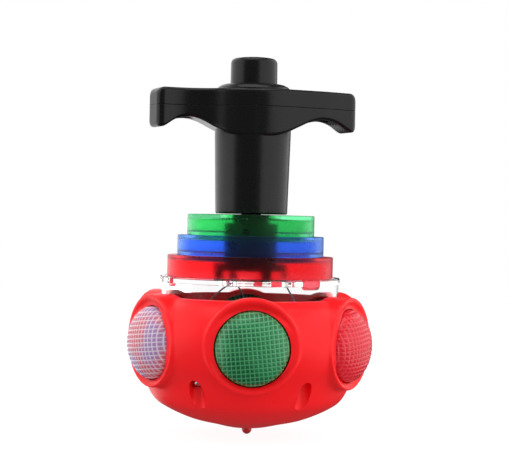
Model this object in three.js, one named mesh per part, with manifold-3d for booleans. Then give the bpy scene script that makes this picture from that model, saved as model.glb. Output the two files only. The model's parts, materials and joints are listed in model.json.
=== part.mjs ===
// A light-up spinning top with its wind-up launcher, in millimetres, +Z up.
// The origin is the lowest point of the tip. One lens faces -Y.
//
// The spinner is a bowl with six lens barrels, a clear cover and three stacked light tiers.
// The launcher is a winged handle on a stem. Its spindle plugs into a socket in the tiers,
// a torsion spring drives the spindle, and a face ratchet holds the spring wound until the
// button pushes the ratchet collar down, out of the spindle's teeth.
import * as THREE from "three";
import { mergeVertices } from "three/addons/utils/BufferGeometryUtils.js";
import Module from "manifold-3d";

const wasm = await Module();
wasm.setup();

// ---------------------------------------------------------------- driving dimensions

const FIT = 0.3; // clearance between neighbours that are assembled by hand
const SLIDE = 0.25; // radial clearance of a piece that slides or turns in another
const SEAT = 0.1; // gap between stacked faces
const THREAD_ROOM = 0.15; // radial room round a screw's thread

// Bowl
const TIP_HEIGHT = 1.9;
const TIP_RADIUS = 1.5;
const TIP_FLAT = 0.5; // radius of the worn flat under the tip
const TIP_SHOULDER = 0.4; // the tip's shank is this much slimmer
const TIP_SHANK = 4.6; // length of the shank inside the bowl
const BOWL_RADIUS = 36.2; // widest, between two lenses
const BOWL_DEPTH = 39.3;
const BOWL_WALL = 1.5;
const RIM_LIP = 2.1; // width of the bowl's rim, around the cover
const RIM_LIP_HEIGHT = 1.8;

// Lens barrels and lenses
const LENS_COUNT = 6;
const LENS_RADIUS = 10.8;
const LENS_DOME = 5.0; // how far a lens stands out of its barrel
const LENS_WALL = 1.6;
const LENS_FLANGE = 1.5; // how far the flange reaches past the opening
const BARREL_RISE = 26.5; // barrel axis above the bottom of the bowl
const BARREL_RIM = 4.0; // width of the ring round a lens
const BARREL_INSET = 2.3; // barrel face inside the widest radius of the bowl
const BARREL_LIP = 2.6; // depth of the lip that holds the lens in
const DISH_WIDTH = 2.6; // the ring round a lens slopes in to it
const DISH_DEPTH = 1.2;

// Screw pockets between the barrels
const POCKET_RADIUS = 3.4;
const POCKET_INSET = 7.9; // pocket axis inside the widest radius
const POCKET_RISE = 16.6; // pocket roof above the bottom of the bowl
const POCKET_WALL = 1.3;
const SCREW_RADIUS = 1.0;
const SCREW_HEAD_RADIUS = 2.3;
const SCREW_HEAD_HEIGHT = 1.6;
const BODY_SCREW_LENGTH = 8;
const POST_RADIUS = 2.0;
const POST_SETBACK = 2.0; // board posts stand this much nearer the axis than the pockets

// Clear cover
const COVER_RISE = 6.1; // cover above the bowl's rim
const COVER_WALL = 1.3;
const COVER_SKIRT = 7.2; // cover below the bowl's rim
const DECK_THICKNESS = 1.2;
const DECK_DROP = 0.7; // deck below the top of the cover's rim
const COVER_BEAD = 0.3;

// Light tiers, from the lowest up
const TIER_INSET = 1.8; // lowest tier inside the cover
const TIER_STEP = 2.88; // each tier is this much smaller in radius
const TIER_HEIGHTS = [6.5, 6.0, 6.2];
const TIER_WALL = 1.4;
const TIER_TOP = 1.2;
const SPIGOT_DEPTH = 1.0;
const TAB_COUNT = 3;
const TAB_WIDTH = 6.6;
const TAB_LENGTH = 3.0;
const TAB_THICKNESS = 1.2;
const TAB_START = THREE.MathUtils.degToRad(45);

// Drive socket in the tiers
const SOCKET_BORE = 6.0;
const SOCKET_WALL = 2.0;
const SOCKET_FLANGE_RADIUS = 11;
const SOCKET_FLANGE_RISE = 2.4; // flange above the deck
const SOCKET_FLANGE = 2.2;
const SOCKET_DEPTH = 12.0;
const SOCKET_FOOT_RADIUS = 1.4;
const SLOT_DEPTH = 1.2;
const SLOT_WIDTH = 2.6;

// Electronics and cells
const CELL_RADIUS = 5.8;
const CELL_HEIGHT = 5.4;
const CELL_COUNT = 3;
const HOLDER_WALL = 1.2;
const HOLDER_RISE = 7.4; // holder above the bottom of the bowl
const CONTACT_THICKNESS = 0.5;
const FIN_REACH = 4; // fins that brace the cell holder
const FIN_THICKNESS = 1.6;
const FIN_DROP = 3; // fins end below the top of the holder
const BOARD_THICKNESS = 1.6;
const LED_RADIUS = 2.5;
const LED_FOOT_RADIUS = 2.9;
const LED_LENGTH = 7.2;
const LED_SETBACK = 9.4; // lens LED tip behind the barrel face
const TIER_LED_RADIUS = 1.5;
const TIER_LED_FOOT_RADIUS = 1.75;
const TIER_LED_RING = 10.4;
const WIRE_RADIUS = 0.25;
const WIRE_LEAN = 7; // how far a lead runs round the axis on its way up
const BUZZER_RADIUS = 6;
const BUZZER_HEIGHT = 4.6;
const BUZZER_HOLE = 1.2;
const SWITCH_RADIUS = 1.4;
const SWITCH_LENGTH = 7;

// Launcher
const STEM_GAP = 0.8; // stem above the top tier
const STEM_WALL = 1.75;
const STEM_DRAFT = 0.6; // growth in radius up to the handle
const STEM_LENGTH = 23.1;
const STEM_BORE = 9.05;
const HUB_HEIGHT = 13.4;
const HANDLE_REACH = 29.3; // axis to the middle of a wing's end
const WING_SWEEP = 5.4; // how far a wing's end lies off the straight line
const WING_END_HALF = 4.6;
const WING_END_ANGLE = THREE.MathUtils.degToRad(24);
const TIP_DROP = 11.7; // height of a wing's end
const ARCH_RISE = 5.1; // finger arch above the hub's underside
const ARCH_PLACE = 0.66; // arch's crown, as a share of the way to the wing's end
const PARTING = 9.0; // parting line above the hub's underside
const PARTING_GAP = 0.2;
const EDGE_ROUND = 1.2;
const BOSS_HEIGHT = 1.8;
const BOSS_SETBACK = 0.4; // boss inside the hub's edge
const BOSS_LIP = 0.8; // width of the boss's top round the button
const BUTTON_LEDGE = 1.75; // how far the button's flange reaches under the roof
const BUTTON_RISE = 8.3;
const BUTTON_TRAVEL = 3;
const BUTTON_WALL = 1.45;
const BUTTON_ROUND = 1.5;
const ROOF = 2.1; // handle's roof over the button's flange

// Ratchet, spindle and springs
const SHAFT_RADIUS = 4.0;
const SHAFT_FOOT_RADIUS = 3.0;
const DOG_ROOM = 0.4; // radial room round the dog in its socket
const DOG_LUG_HEIGHT = 5;
const DOG_LUG_RISE = 1.5;
const DOG_FLOOR = 1; // thickness under the spindle's foot
const CAP_THICKNESS = 2.5;
const TOOTH_COUNT = 12;
const TOOTH_HEIGHT = 1.0;
const TOOTH_SETBACK = 0.9; // teeth start this far from the shaft
const TOOTH_SINK = 0.4; // how deep a tooth's root is sunk in its plate
const COLLAR_BASE = 2.1;
const FLANGE_BASE = 1.4;
const SPRING_ROOM = 1.3; // radial room between a spring and the shaft
const RETURN_SPRING_LENGTH = 4.6;
const RETURN_SPRING_WIRE = 0.3;
const RETURN_SPRING_TURNS = 3;
const MAIN_SPRING_WIRE = 0.55;
const MAIN_SPRING_TURNS = 7;
const LEG_THICKNESS = 0.95;
const LEG_WIDTH = 5.4;
const RETAINER_THICKNESS = 1.7;
const CAVITY_STEP = 0.55; // the hub is bored this much wider than the stem

// Facets in a full turn of a large, a middling and a small round form
const FINE = 30;
const MIDDLE = 18;
const COARSE = 8;
const LENS_FACETS = 16;
const SPRING_STEPS = 7; // in each turn

// The bowl's outline as shares of its widest radius and its depth: a shallow floor,
// a round shoulder, a belt that swells between the lenses, and a side that leans in.
const BOWL_OUTLINE = [
  [0, 0],
  [0.3, 0.043],
  [0.49, 0.087],
  [0.68, 0.165],
  [0.785, 0.24],
  [0.87, 0.39],
  [0.96, 0.53],
  [1, 0.69],
  [0.97, 0.84],
  [0.9, 0.94],
  [0.801, 1],
];

// ---------------------------------------------------------------- places that follow

const TURN = Math.PI * 2;

const BARREL_RADIUS = LENS_RADIUS + BARREL_RIM;
const BARREL_Z = TIP_HEIGHT + BARREL_RISE;
const BARREL_FACE = BOWL_RADIUS - BARREL_INSET;
const CREST_RADIUS = LENS_RADIUS + DISH_WIDTH;
const LENS_FRONT = BARREL_FACE - BARREL_LIP;
const FLANGE_RADIUS = LENS_RADIUS + LENS_FLANGE;
const POCKET_RING = BOWL_RADIUS - POCKET_INSET;
const POCKET_ROOF = TIP_HEIGHT + POCKET_RISE;
const SEAT_TOP = POCKET_ROOF + BOWL_WALL;
const RIM_Z = TIP_HEIGHT + BOWL_DEPTH;
const RIM_RADIUS = BOWL_RADIUS * BOWL_OUTLINE.at(-1)[0];
const COVER_RADIUS = RIM_RADIUS - RIM_LIP - FIT;
const COVER_TOP = RIM_Z + COVER_RISE;
const DECK_TOP = COVER_TOP - DECK_DROP;
const TIER_BASE = DECK_TOP + FIT;
const TIER_RADII = TIER_HEIGHTS.map((_, i) => COVER_RADIUS - TIER_INSET - i * TIER_STEP);
const TIERS_TOP = TIER_HEIGHTS.reduce((sum, height) => sum + height, TIER_BASE);
const SOCKET_FLOOR = DECK_TOP + SOCKET_FLANGE_RISE + SOCKET_FLANGE;
const SOCKET_RADIUS = SOCKET_BORE + SOCKET_WALL;
const HOLDER_FLOOR = TIP_HEIGHT + HOLDER_RISE;
const HOLDER_BORE = CELL_RADIUS + SLIDE;
const HOLDER_RADIUS = HOLDER_BORE + HOLDER_WALL;
const CELLS_BASE = HOLDER_FLOOR + HOLDER_WALL + CONTACT_THICKNESS + 2 * SEAT;
const CELLS_TOP = CELLS_BASE + CELL_COUNT * (CELL_HEIGHT + SEAT);
const HOLDER_TOP = CELLS_TOP + CONTACT_THICKNESS + SEAT;
const BOARD_Z = Math.max(HOLDER_TOP, BARREL_Z + LED_FOOT_RADIUS) + FIT;
const BOARD_RADIUS = POCKET_RING - POST_RADIUS - 4 * FIT;
const BOARD_TOP = BOARD_Z + BOARD_THICKNESS;
const STEM_RADIUS = STEM_BORE + STEM_WALL;
const HUB_RADIUS = STEM_RADIUS + STEM_DRAFT;
const BOSS_RADIUS = HUB_RADIUS - BOSS_SETBACK;
const STEM_Z = TIERS_TOP + STEM_GAP;
const HUB_Z = STEM_Z + STEM_LENGTH;
const HUB_TOP = HUB_Z + HUB_HEIGHT;
const PARTING_Z = HUB_Z + PARTING;
const BOSS_TOP = HUB_TOP + BOSS_HEIGHT;
const BUTTON_TOP = BOSS_TOP + BUTTON_RISE;
const CAP_Z = STEM_Z + FIT;
const CAP_TOP = CAP_Z + CAP_THICKNESS;
const COLLAR_Z = CAP_TOP + RETURN_SPRING_LENGTH + 2 * FIT;
const COLLAR_TOP = COLLAR_Z + COLLAR_BASE;
const TEETH_TOP = COLLAR_TOP + TOOTH_HEIGHT;
const FLANGE_Z = TEETH_TOP + FIT + TOOTH_HEIGHT;
const FLANGE_TOP = FLANGE_Z + FLANGE_BASE;
const CAVITY_TOP = BOSS_TOP - ROOF;
const BUTTON_FLANGE_TOP = CAVITY_TOP - SLIDE;
const BUTTON_FLANGE_Z = BUTTON_FLANGE_TOP - BUTTON_WALL;
const RETAINER_TOP = BUTTON_FLANGE_Z - BUTTON_TRAVEL - FIT;
const RETAINER_Z = RETAINER_TOP - RETAINER_THICKNESS;
const LEG_OUTER = STEM_BORE - SLIDE;
const LEG_INNER = LEG_OUTER - LEG_THICKNESS;
const CAVITY_RADIUS = STEM_BORE + CAVITY_STEP;
const BUTTON_RADIUS = LEG_OUTER - BUTTON_LEDGE;
const BOSS_TOP_RADIUS = BUTTON_RADIUS + SLIDE + BOSS_LIP;
const DOG_RADIUS = SOCKET_BORE - DOG_ROOM;
const TOOTH_INNER = SHAFT_RADIUS + TOOTH_SETBACK;
const TOOTH_OUTER = LEG_INNER - FIT - SLIDE;

// ---------------------------------------------------------------- finishes

const FINISHES = {
  red: { color: 0xe8161c, roughness: 0.3, metalness: 0 },
  darkRed: { color: 0x9c0a14, roughness: 0.3, metalness: 0 },
  black: { color: 0x17171a, roughness: 0.25, metalness: 0 },
  clear: { color: 0xf2f4f6, roughness: 0.08, metalness: 0, opacity: 0.35 },
  redGlass: { color: 0xe01226, roughness: 0.1, metalness: 0, opacity: 0.8 },
  blueGlass: { color: 0x2256e0, roughness: 0.1, metalness: 0, opacity: 0.8 },
  greenGlass: { color: 0x1fae5a, roughness: 0.1, metalness: 0, opacity: 0.8 },
  steel: { color: 0xb9bcc0, roughness: 0.3, metalness: 1 },
  board: { color: 0x1d5a34, roughness: 0.6, metalness: 0 },
  cell: { color: 0xc9cbcd, roughness: 0.25, metalness: 1 },
  copper: { color: 0xb87a4a, roughness: 0.35, metalness: 1 },
};

function finish(name) {
  const { opacity = 1, ...look } = FINISHES[name];
  return new THREE.MeshStandardMaterial({ ...look, opacity, transparent: opacity < 1 });
}

// ---------------------------------------------------------------- solids

// A closed geometry as a solid. A profile may run either way, so faces that
// point inwards are turned round.
function solid(geometry) {
  const plain = new THREE.BufferGeometry();
  plain.setAttribute("position", geometry.getAttribute("position").clone());
  plain.setIndex(geometry.index);
  const merged = mergeVertices(plain, 1e-4);
  const made = manifoldOf(merged, false);
  return made.volume() < 0 ? manifoldOf(merged, true) : made;
}

function manifoldOf(geometry, turned) {
  const index = geometry.index.array;
  const triVerts = [];
  for (let i = 0; i < index.length; i += 3) {
    const [a, b, c] = index.slice(i, i + 3);
    if (a === b || b === c || c === a) continue;
    triVerts.push(...(turned ? [a, c, b] : [a, b, c]));
  }
  return new wasm.Manifold(
    new wasm.Mesh({
      numProp: 3,
      vertProperties: geometry.getAttribute("position").array,
      triVerts: new Uint32Array(triVerts),
    }),
  );
}

// A profile of [radius, height] pairs turned about the Z axis. It starts and
// ends on the axis, or is closed here into a ring.
function revolve(profile, segments = MIDDLE) {
  const closed = profile[0][0] === 0 && profile.at(-1)[0] === 0 ? profile : [...profile, profile[0]];
  const points = closed.map(([r, z]) => new THREE.Vector2(r, z));
  return solid(new THREE.LatheGeometry(points, segments).rotateX(Math.PI / 2));
}

function disc(radius, low, high, segments = MIDDLE) {
  return revolve([[0, low], [radius, low], [radius, high], [0, high]], segments);
}

function ring(inner, outer, low, high, segments = MIDDLE) {
  return revolve([[inner, low], [outer, low], [outer, high], [inner, high]], segments);
}

// A block from one corner to the opposite one.
function block(low, high) {
  const size = high.map((value, i) => value - low[i]);
  const middle = high.map((value, i) => (value + low[i]) / 2);
  return solid(new THREE.BoxGeometry(...size).translate(...middle));
}

// A flat outline pulled up from one height to another.
function slab(outline, low, high, options = {}) {
  const settings = { depth: high - low, bevelEnabled: false, curveSegments: 8, ...options };
  return solid(new THREE.ExtrudeGeometry(outline, settings).translate(0, 0, low));
}

// A round rod swept along a curve.
function rod(curve, radius, steps, sides = 8) {
  const section = new THREE.Shape().absarc(0, 0, radius, 0, TURN, false);
  const settings = { steps, curveSegments: sides / 2, extrudePath: curve, bevelEnabled: false };
  const round = new THREE.Shape(section.getPoints(sides / 2).slice(0, -1));
  return solid(new THREE.ExtrudeGeometry(round, settings));
}

class Helix extends THREE.Curve {
  constructor(radius, low, high, turns) {
    super();
    Object.assign(this, { radius, low, high, turns });
  }

  getPoint(t, target = new THREE.Vector3()) {
    const angle = t * this.turns * TURN;
    const height = this.low + t * (this.high - this.low);
    return target.set(this.radius * Math.cos(angle), this.radius * Math.sin(angle), height);
  }
}

function union(parts) {
  return parts.reduce((whole, part) => whole.add(part));
}

// The angle of copy i of count, measured from -Y towards +X.
function stepAngle(i, count, start = 0) {
  return start + (i * TURN) / count;
}

// A solid moved out along -Y, then turned about Z by an angle from -Y towards +X.
function placed(body, radius, angle) {
  return body.translate([0, -radius, 0]).rotate([0, 0, THREE.MathUtils.radToDeg(angle)]);
}

// A solid built along +Z laid down to point out along -Y at a height.
function laidOut(body, height) {
  return body.rotate([90, 0, 0]).translate([0, 0, height]);
}

function node(name, body, look) {
  const { vertProperties, triVerts } = body.getMesh();
  const geometry = new THREE.BufferGeometry();
  geometry.setAttribute("position", new THREE.BufferAttribute(vertProperties, 3));
  geometry.setIndex(new THREE.BufferAttribute(triVerts, 1));
  geometry.computeVertexNormals();
  const mesh = new THREE.Mesh(geometry, finish(look));
  mesh.name = name;
  return mesh;
}

function assembly(...children) {
  const group = new THREE.Group();
  group.add(...children.flat());
  return group;
}

// Copies of one piece in a circle, each in its own mesh.
function circleOf(name, body, look, angles) {
  return angles.map((angle, i) => {
    const copy = node(`${name}_${i + 1}`, body, look);
    copy.rotation.z = angle;
    return copy;
  });
}

// ---------------------------------------------------------------- bowl

// The outline moved in by a wall: up from the floor, and in from the side.
function bowlOutline(wall) {
  return BOWL_OUTLINE.map(([r, z]) => {
    const side = Math.min(1, 1.6 * r);
    const up = wall * (1 - z) * (1 - 0.5 * side);
    return [r * BOWL_RADIUS - wall * side, TIP_HEIGHT + z * BOWL_DEPTH + up];
  });
}

// A six-sided block whose flats face the lenses.
function flatsBlock(apothem, low, high) {
  const corner = apothem / Math.cos(Math.PI / LENS_COUNT);
  return disc(corner, low, high, LENS_COUNT).rotate([0, 0, 180 / LENS_COUNT]);
}

// The space inside the bowl, kept a distance from its wall, under the rim's lip.
function bowlInside(wall) {
  const top = RIM_Z - RIM_LIP_HEIGHT - wall;
  const outline = bowlOutline(wall).map(([r, z]) => [Math.max(0, r), z]);
  const inside = outline.filter(([, z]) => z < top);
  const [lowRadius, lowZ] = inside.at(-1);
  const [highRadius, highZ] = outline[inside.length];
  const share = (top - lowZ) / (highZ - lowZ);
  const under = [lowRadius + share * (highRadius - lowRadius), top];
  const round = revolve([...inside, under, [0, top]], MIDDLE);
  return round.intersect(flatsBlock(LENS_FRONT - LENS_WALL + BOWL_WALL - wall, 0, RIM_Z));
}

// A barrel along +Z: round sides, a rounded crest, and a dish that slopes to the lens.
function barrelProfile() {
  const fillet = BARREL_RADIUS - CREST_RADIUS;
  const arc = new THREE.Path().absarc(CREST_RADIUS, BARREL_FACE - fillet, fillet, 0, Math.PI / 2, false);
  const corner = arc.getPoints(2).map(({ x, y }) => [x, y]);
  const root = BOWL_RADIUS / 2;
  const dish = BARREL_FACE - DISH_DEPTH;
  return [[0, root], [BARREL_RADIUS, root], ...corner, [LENS_RADIUS, dish], [0, dish]];
}

function lensAngles() {
  return Array.from({ length: LENS_COUNT }, (_, i) => stepAngle(i, LENS_COUNT));
}

function pocketAngles() {
  return Array.from({ length: LENS_COUNT }, (_, i) => stepAngle(i + 0.5, LENS_COUNT));
}

// Every other pocket holds a screw. The others carry the posts under the board.
function screwAngles() {
  return pocketAngles().filter((_, i) => i % 2 === 1);
}

function postAngles() {
  return pocketAngles().filter((_, i) => i % 2 === 0);
}

function bowlShell() {
  const turned = revolve([...bowlOutline(0), [0, RIM_Z]], FINE);
  const outside = turned.intersect(flatsBlock(BARREL_FACE, 0, RIM_Z));
  const barrel = laidOut(revolve(barrelProfile(), MIDDLE), BARREL_Z);
  return lensAngles().reduce((shell, angle) => shell.add(placed(barrel, 0, angle)), outside);
}

function barrelBore() {
  const bore = disc(FLANGE_RADIUS + FIT, BOWL_RADIUS / 2 + 1, LENS_FRONT, LENS_FACETS);
  const opening = disc(LENS_RADIUS, LENS_FRONT - 1, BARREL_FACE + 1, LENS_FACETS);
  return laidOut(bore.add(opening), BARREL_Z);
}

function bowl() {
  const outside = bowlShell();
  const coverRoom = disc(COVER_RADIUS + FIT, RIM_Z - RIM_LIP_HEIGHT - 2, BARREL_Z + 2 * BARREL_RADIUS, FINE);
  const bore = barrelBore();
  const hollow = lensAngles().reduce(
    (space, angle) => space.add(placed(bore, 0, angle)),
    bowlInside(BOWL_WALL).add(coverRoom),
  );
  const cup = disc(POCKET_RADIUS + POCKET_WALL, TIP_HEIGHT, SEAT_TOP, COARSE);
  const cups = union(pocketAngles().map((angle) => placed(cup, POCKET_RING, angle)));
  const post = disc(POST_RADIUS, POCKET_ROOF, BOARD_Z - SEAT, COARSE);
  const posts = union(postAngles().map((angle) => placed(post, POCKET_RING - POST_SETBACK, angle)));
  const pocket = disc(POCKET_RADIUS, 0, POCKET_ROOF, COARSE);
  const pockets = union(pocketAngles().map((angle) => placed(pocket, POCKET_RING, angle)));
  const hole = disc(SCREW_RADIUS + THREAD_ROOM, 0, SEAT_TOP + 1, COARSE);
  const holes = union(screwAngles().map((angle) => placed(hole, POCKET_RING, angle)));
  const fittings = cups.intersect(outside).add(posts).subtract(pockets).subtract(holes);
  const tipHole = disc(TIP_RADIUS - TIP_SHOULDER + SLIDE, 0, HOLDER_FLOOR, COARSE);
  const shell = outside.subtract(hollow).subtract(pockets);
  return node("bowl", shell.add(fittings).subtract(tipHole), "red");
}

function tip() {
  const shank = TIP_RADIUS - TIP_SHOULDER;
  const top = TIP_HEIGHT + TIP_SHANK - TIP_RADIUS;
  const arc = new THREE.Path().absarc(0, TIP_RADIUS, TIP_RADIUS, -Math.PI / 4, 0, false);
  const nose = arc.getPoints(3).map(({ x, y }) => [x, y]);
  const shoulder = TIP_HEIGHT - SEAT;
  const profile = [
    [0, 0],
    [TIP_FLAT, 0],
    ...nose,
    [TIP_RADIUS, shoulder],
    [shank, shoulder],
    [shank, top],
    [0, top],
  ];
  return node("tip", revolve(profile, COARSE), "darkRed");
}

// ---------------------------------------------------------------- lenses and LEDs

function domeArc(radius, base, height, count) {
  return Array.from({ length: count + 1 }, (_, i) => {
    const angle = (i / count) * (Math.PI / 2);
    return [radius * Math.cos(angle), base + height * Math.sin(angle)];
  });
}

// A lens: a flange behind the barrel's lip, a neck through the opening, and a dome.
function lensBody() {
  const radius = LENS_RADIUS - SLIDE;
  const front = LENS_FRONT - FIT;
  const back = front - LENS_WALL;
  const face = BARREL_FACE - DISH_DEPTH;
  const dome = LENS_DOME + DISH_DEPTH;
  const outer = domeArc(radius, face, dome, 3);
  const inner = domeArc(radius - LENS_WALL, face, dome - LENS_WALL, 2).reverse();
  const profile = [
    [radius - LENS_WALL, back],
    [FLANGE_RADIUS, back],
    [FLANGE_RADIUS, front],
    [radius, front],
    ...outer,
    ...inner,
  ];
  return laidOut(solidOfShell(profile), BARREL_Z);
}

// A shell whose profile touches the axis twice: once outside and once inside.
function solidOfShell(profile) {
  const turnOver = profile.findIndex(([r]) => Math.abs(r) < 1e-9);
  const clean = profile.map(([r, z]) => [Math.abs(r) < 1e-9 ? 0 : r, z]);
  const outside = revolve([[0, clean[0][1]], ...clean.slice(0, turnOver + 1)], LENS_FACETS);
  const inside = [[0, clean[0][1] - 1], [clean[0][0], clean[0][1] - 1]];
  const hollow = revolve([...inside, ...clean.slice(turnOver + 1).reverse()], LENS_FACETS);
  return outside.subtract(hollow);
}

const LENS_LOOKS = ["greenGlass", "redGlass", "clear"];

function lenses() {
  const body = lensBody();
  return lensAngles().map((angle, i) => {
    const lens = node(`lens_${i + 1}`, body, LENS_LOOKS[i % LENS_LOOKS.length]);
    lens.rotation.z = angle;
    return lens;
  });
}

// A round LED along +Z: a wide foot, a body and a domed end.
function ledBody(radius, foot, length) {
  const dome = domeArc(radius, length - radius, radius, 2).slice(0, -1);
  return revolve([[0, 0], [foot, 0], [foot, 1], [radius, 1], ...dome, [0, length]], COARSE);
}

function lensLeds() {
  const start = BARREL_FACE - LED_SETBACK - LED_LENGTH;
  const body = laidOut(ledBody(LED_RADIUS, LED_FOOT_RADIUS, LED_LENGTH).translate([0, 0, start]), BARREL_Z);
  return circleOf("lens_led", body, "clear", lensAngles());
}

// ---------------------------------------------------------------- clear cover and tiers

function coverShell() {
  const skirt = RIM_Z - COVER_SKIRT;
  const inner = COVER_RADIUS - COVER_WALL;
  const deckHole = TIER_LED_RING - 3 * TIER_LED_RADIUS - FIT;
  const bead = COVER_RADIUS + COVER_BEAD;
  return revolve(
    [
      [inner, skirt],
      [COVER_RADIUS, skirt],
      [COVER_RADIUS, DECK_TOP - DECK_THICKNESS],
      [bead, DECK_TOP - DECK_THICKNESS],
      [bead, COVER_TOP],
      [inner, COVER_TOP],
      [inner, DECK_TOP],
      [deckHole, DECK_TOP],
      [deckHole, DECK_TOP - DECK_THICKNESS],
      [inner, DECK_TOP - DECK_THICKNESS],
    ],
    FINE,
  );
}

function tabAngles() {
  return Array.from({ length: TAB_COUNT }, (_, i) => stepAngle(i, TAB_COUNT, TAB_START));
}

// A post down to each screw, joined to the skirt by a web and kept clear of the bowl.
function coverPosts() {
  const post = disc(POST_RADIUS, SEAT_TOP + FIT, RIM_Z - 1, COARSE);
  const outer = POCKET_RING - COVER_RADIUS + COVER_WALL / 2;
  const web = block([-POST_RADIUS / 2, 0, RIM_Z - COVER_SKIRT], [POST_RADIUS / 2, outer, RIM_Z - 1]);
  const pilot = disc(SCREW_RADIUS + THREAD_ROOM, 0, SEAT_TOP + BODY_SCREW_LENGTH, COARSE);
  const whole = union(screwAngles().map((angle) => placed(post.add(web), POCKET_RING, angle)));
  const pilots = union(screwAngles().map((angle) => placed(pilot, POCKET_RING, angle)));
  const room = bowlInside(BOWL_WALL + FIT).add(disc(COVER_RADIUS, 0, COVER_TOP, FINE));
  return whole.intersect(room).subtract(pilots);
}

function clearCover() {
  const depth = TAB_THICKNESS + 2 * FIT;
  const width = TAB_WIDTH / 2 + FIT;
  const middle = TIER_RADII[0] - TAB_THICKNESS / 2;
  const slot = block([-width, -depth / 2, DECK_TOP - 2 * DECK_THICKNESS], [width, depth / 2, COVER_TOP + 1]);
  const slots = union(tabAngles().map((angle) => placed(slot, middle - FIT, angle)));
  const hole = disc(TIER_LED_FOOT_RADIUS + FIT, DECK_TOP - 2 * DECK_THICKNESS, COVER_TOP, COARSE);
  const holes = union(tierLedAngles().map((angle) => placed(hole, TIER_LED_RING, angle)));
  const cut = coverShell().subtract(slots).subtract(holes);
  return node("clear_cover", cut.add(coverPosts()), "clear");
}

// A tier is a cup turned over: a wall and a roof with an opening. All but the lowest
// have a shelf inside their foot, with a spigot that drops into the tier below.
function tierShell(radius, low, high, opening, spigot) {
  const inner = radius - TIER_WALL;
  const neck = spigot - TIER_WALL;
  const foot = [
    [neck, low + TIER_TOP],
    [neck, low - SPIGOT_DEPTH],
    [spigot, low - SPIGOT_DEPTH],
    [spigot, low],
  ];
  const roof = [
    [radius, low],
    [radius, high],
    [opening, high],
    [opening, high - TIER_TOP],
    [inner, high - TIER_TOP],
  ];
  const profile = spigot ? [...foot, ...roof, [inner, low + TIER_TOP]] : [[inner, low], ...roof];
  return revolve(profile, FINE);
}

// Tabs that drop through the cover's deck, with rounded lower corners.
function tabOutline() {
  const half = TAB_WIDTH / 2;
  const round = TAB_WIDTH / 4;
  const outline = new THREE.Shape();
  outline.moveTo(-half, TAB_LENGTH);
  outline.lineTo(-half, round);
  outline.absarc(-half + round, round, round, Math.PI, 1.5 * Math.PI, false);
  outline.absarc(half - round, round, round, 1.5 * Math.PI, TURN, false);
  outline.lineTo(half, TAB_LENGTH);
  return outline;
}

function tierTabs() {
  const settings = { depth: TAB_THICKNESS, bevelEnabled: false, curveSegments: 4 };
  const flat = new THREE.ExtrudeGeometry(tabOutline(), settings).rotateX(Math.PI / 2);
  const tab = solid(flat.translate(0, TAB_THICKNESS, TIER_BASE - TAB_LENGTH + FIT));
  return union(tabAngles().map((angle) => placed(tab, TIER_RADII[0] - FIT, angle)));
}

const TIER_LOOKS = ["redGlass", "blueGlass", "greenGlass"];
const TIER_NAMES = ["red_tier", "blue_tier", "green_tier"];

function tiers() {
  let low = TIER_BASE;
  return TIER_RADII.map((radius, i) => {
    const high = low + TIER_HEIGHTS[i] - SEAT;
    const next = TIER_RADII[i + 1];
    const opening = next ? next - TIER_WALL - SLIDE : SOCKET_BORE + SLOT_DEPTH + FIT;
    const spigot = i > 0 ? radius - TIER_WALL - 2 * SLIDE : 0;
    const shell = tierShell(radius, low, high, opening, spigot);
    const whole = i === 0 ? shell.add(tierTabs()) : shell;
    low += TIER_HEIGHTS[i];
    return node(TIER_NAMES[i], whole, TIER_LOOKS[i]);
  });
}

// ---------------------------------------------------------------- drive socket

function socketSlots() {
  const reach = SOCKET_BORE + SLOT_DEPTH;
  const half = SLOT_WIDTH / 2;
  return block([-reach, -half, SOCKET_FLOOR], [reach, half, SOCKET_FLOOR + SOCKET_DEPTH + 1]);
}

// A flanged cup on three feet, with two slots that take the launcher's lugs.
function driveSocket() {
  const flangeLow = SOCKET_FLOOR - SOCKET_FLANGE;
  const top = SOCKET_FLOOR + SOCKET_DEPTH;
  const cup = revolve(
    [
      [0, flangeLow],
      [SOCKET_FLANGE_RADIUS, flangeLow],
      [SOCKET_FLANGE_RADIUS, SOCKET_FLOOR],
      [SOCKET_RADIUS, SOCKET_FLOOR],
      [SOCKET_RADIUS, top],
      [SOCKET_BORE, top],
      [SOCKET_BORE, SOCKET_FLOOR],
      [0, SOCKET_FLOOR],
    ],
    MIDDLE,
  );
  const foot = disc(SOCKET_FOOT_RADIUS, DECK_TOP + SEAT, flangeLow + SOCKET_FLANGE / 4, COARSE);
  const angles = tierLedAngles().map((angle) => angle + Math.PI / TAB_COUNT);
  const footRing = SOCKET_FLANGE_RADIUS - SOCKET_FOOT_RADIUS - SEAT;
  const feet = union(angles.map((angle) => placed(foot, footRing, angle)));
  return node("drive_socket", cup.add(feet).subtract(socketSlots()), "black");
}

// ---------------------------------------------------------------- electronics

function tierLedAngles() {
  return Array.from({ length: 3 }, (_, i) => stepAngle(i, 3, -Math.PI / 6));
}

function tierLeds() {
  const length = SOCKET_FLANGE_RISE + DECK_THICKNESS - FIT;
  const body = ledBody(TIER_LED_RADIUS, TIER_LED_FOOT_RADIUS, length);
  const low = DECK_TOP - DECK_THICKNESS;
  return circleOf("tier_led", body.translate([0, -TIER_LED_RING, low]), "clear", tierLedAngles());
}

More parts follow.
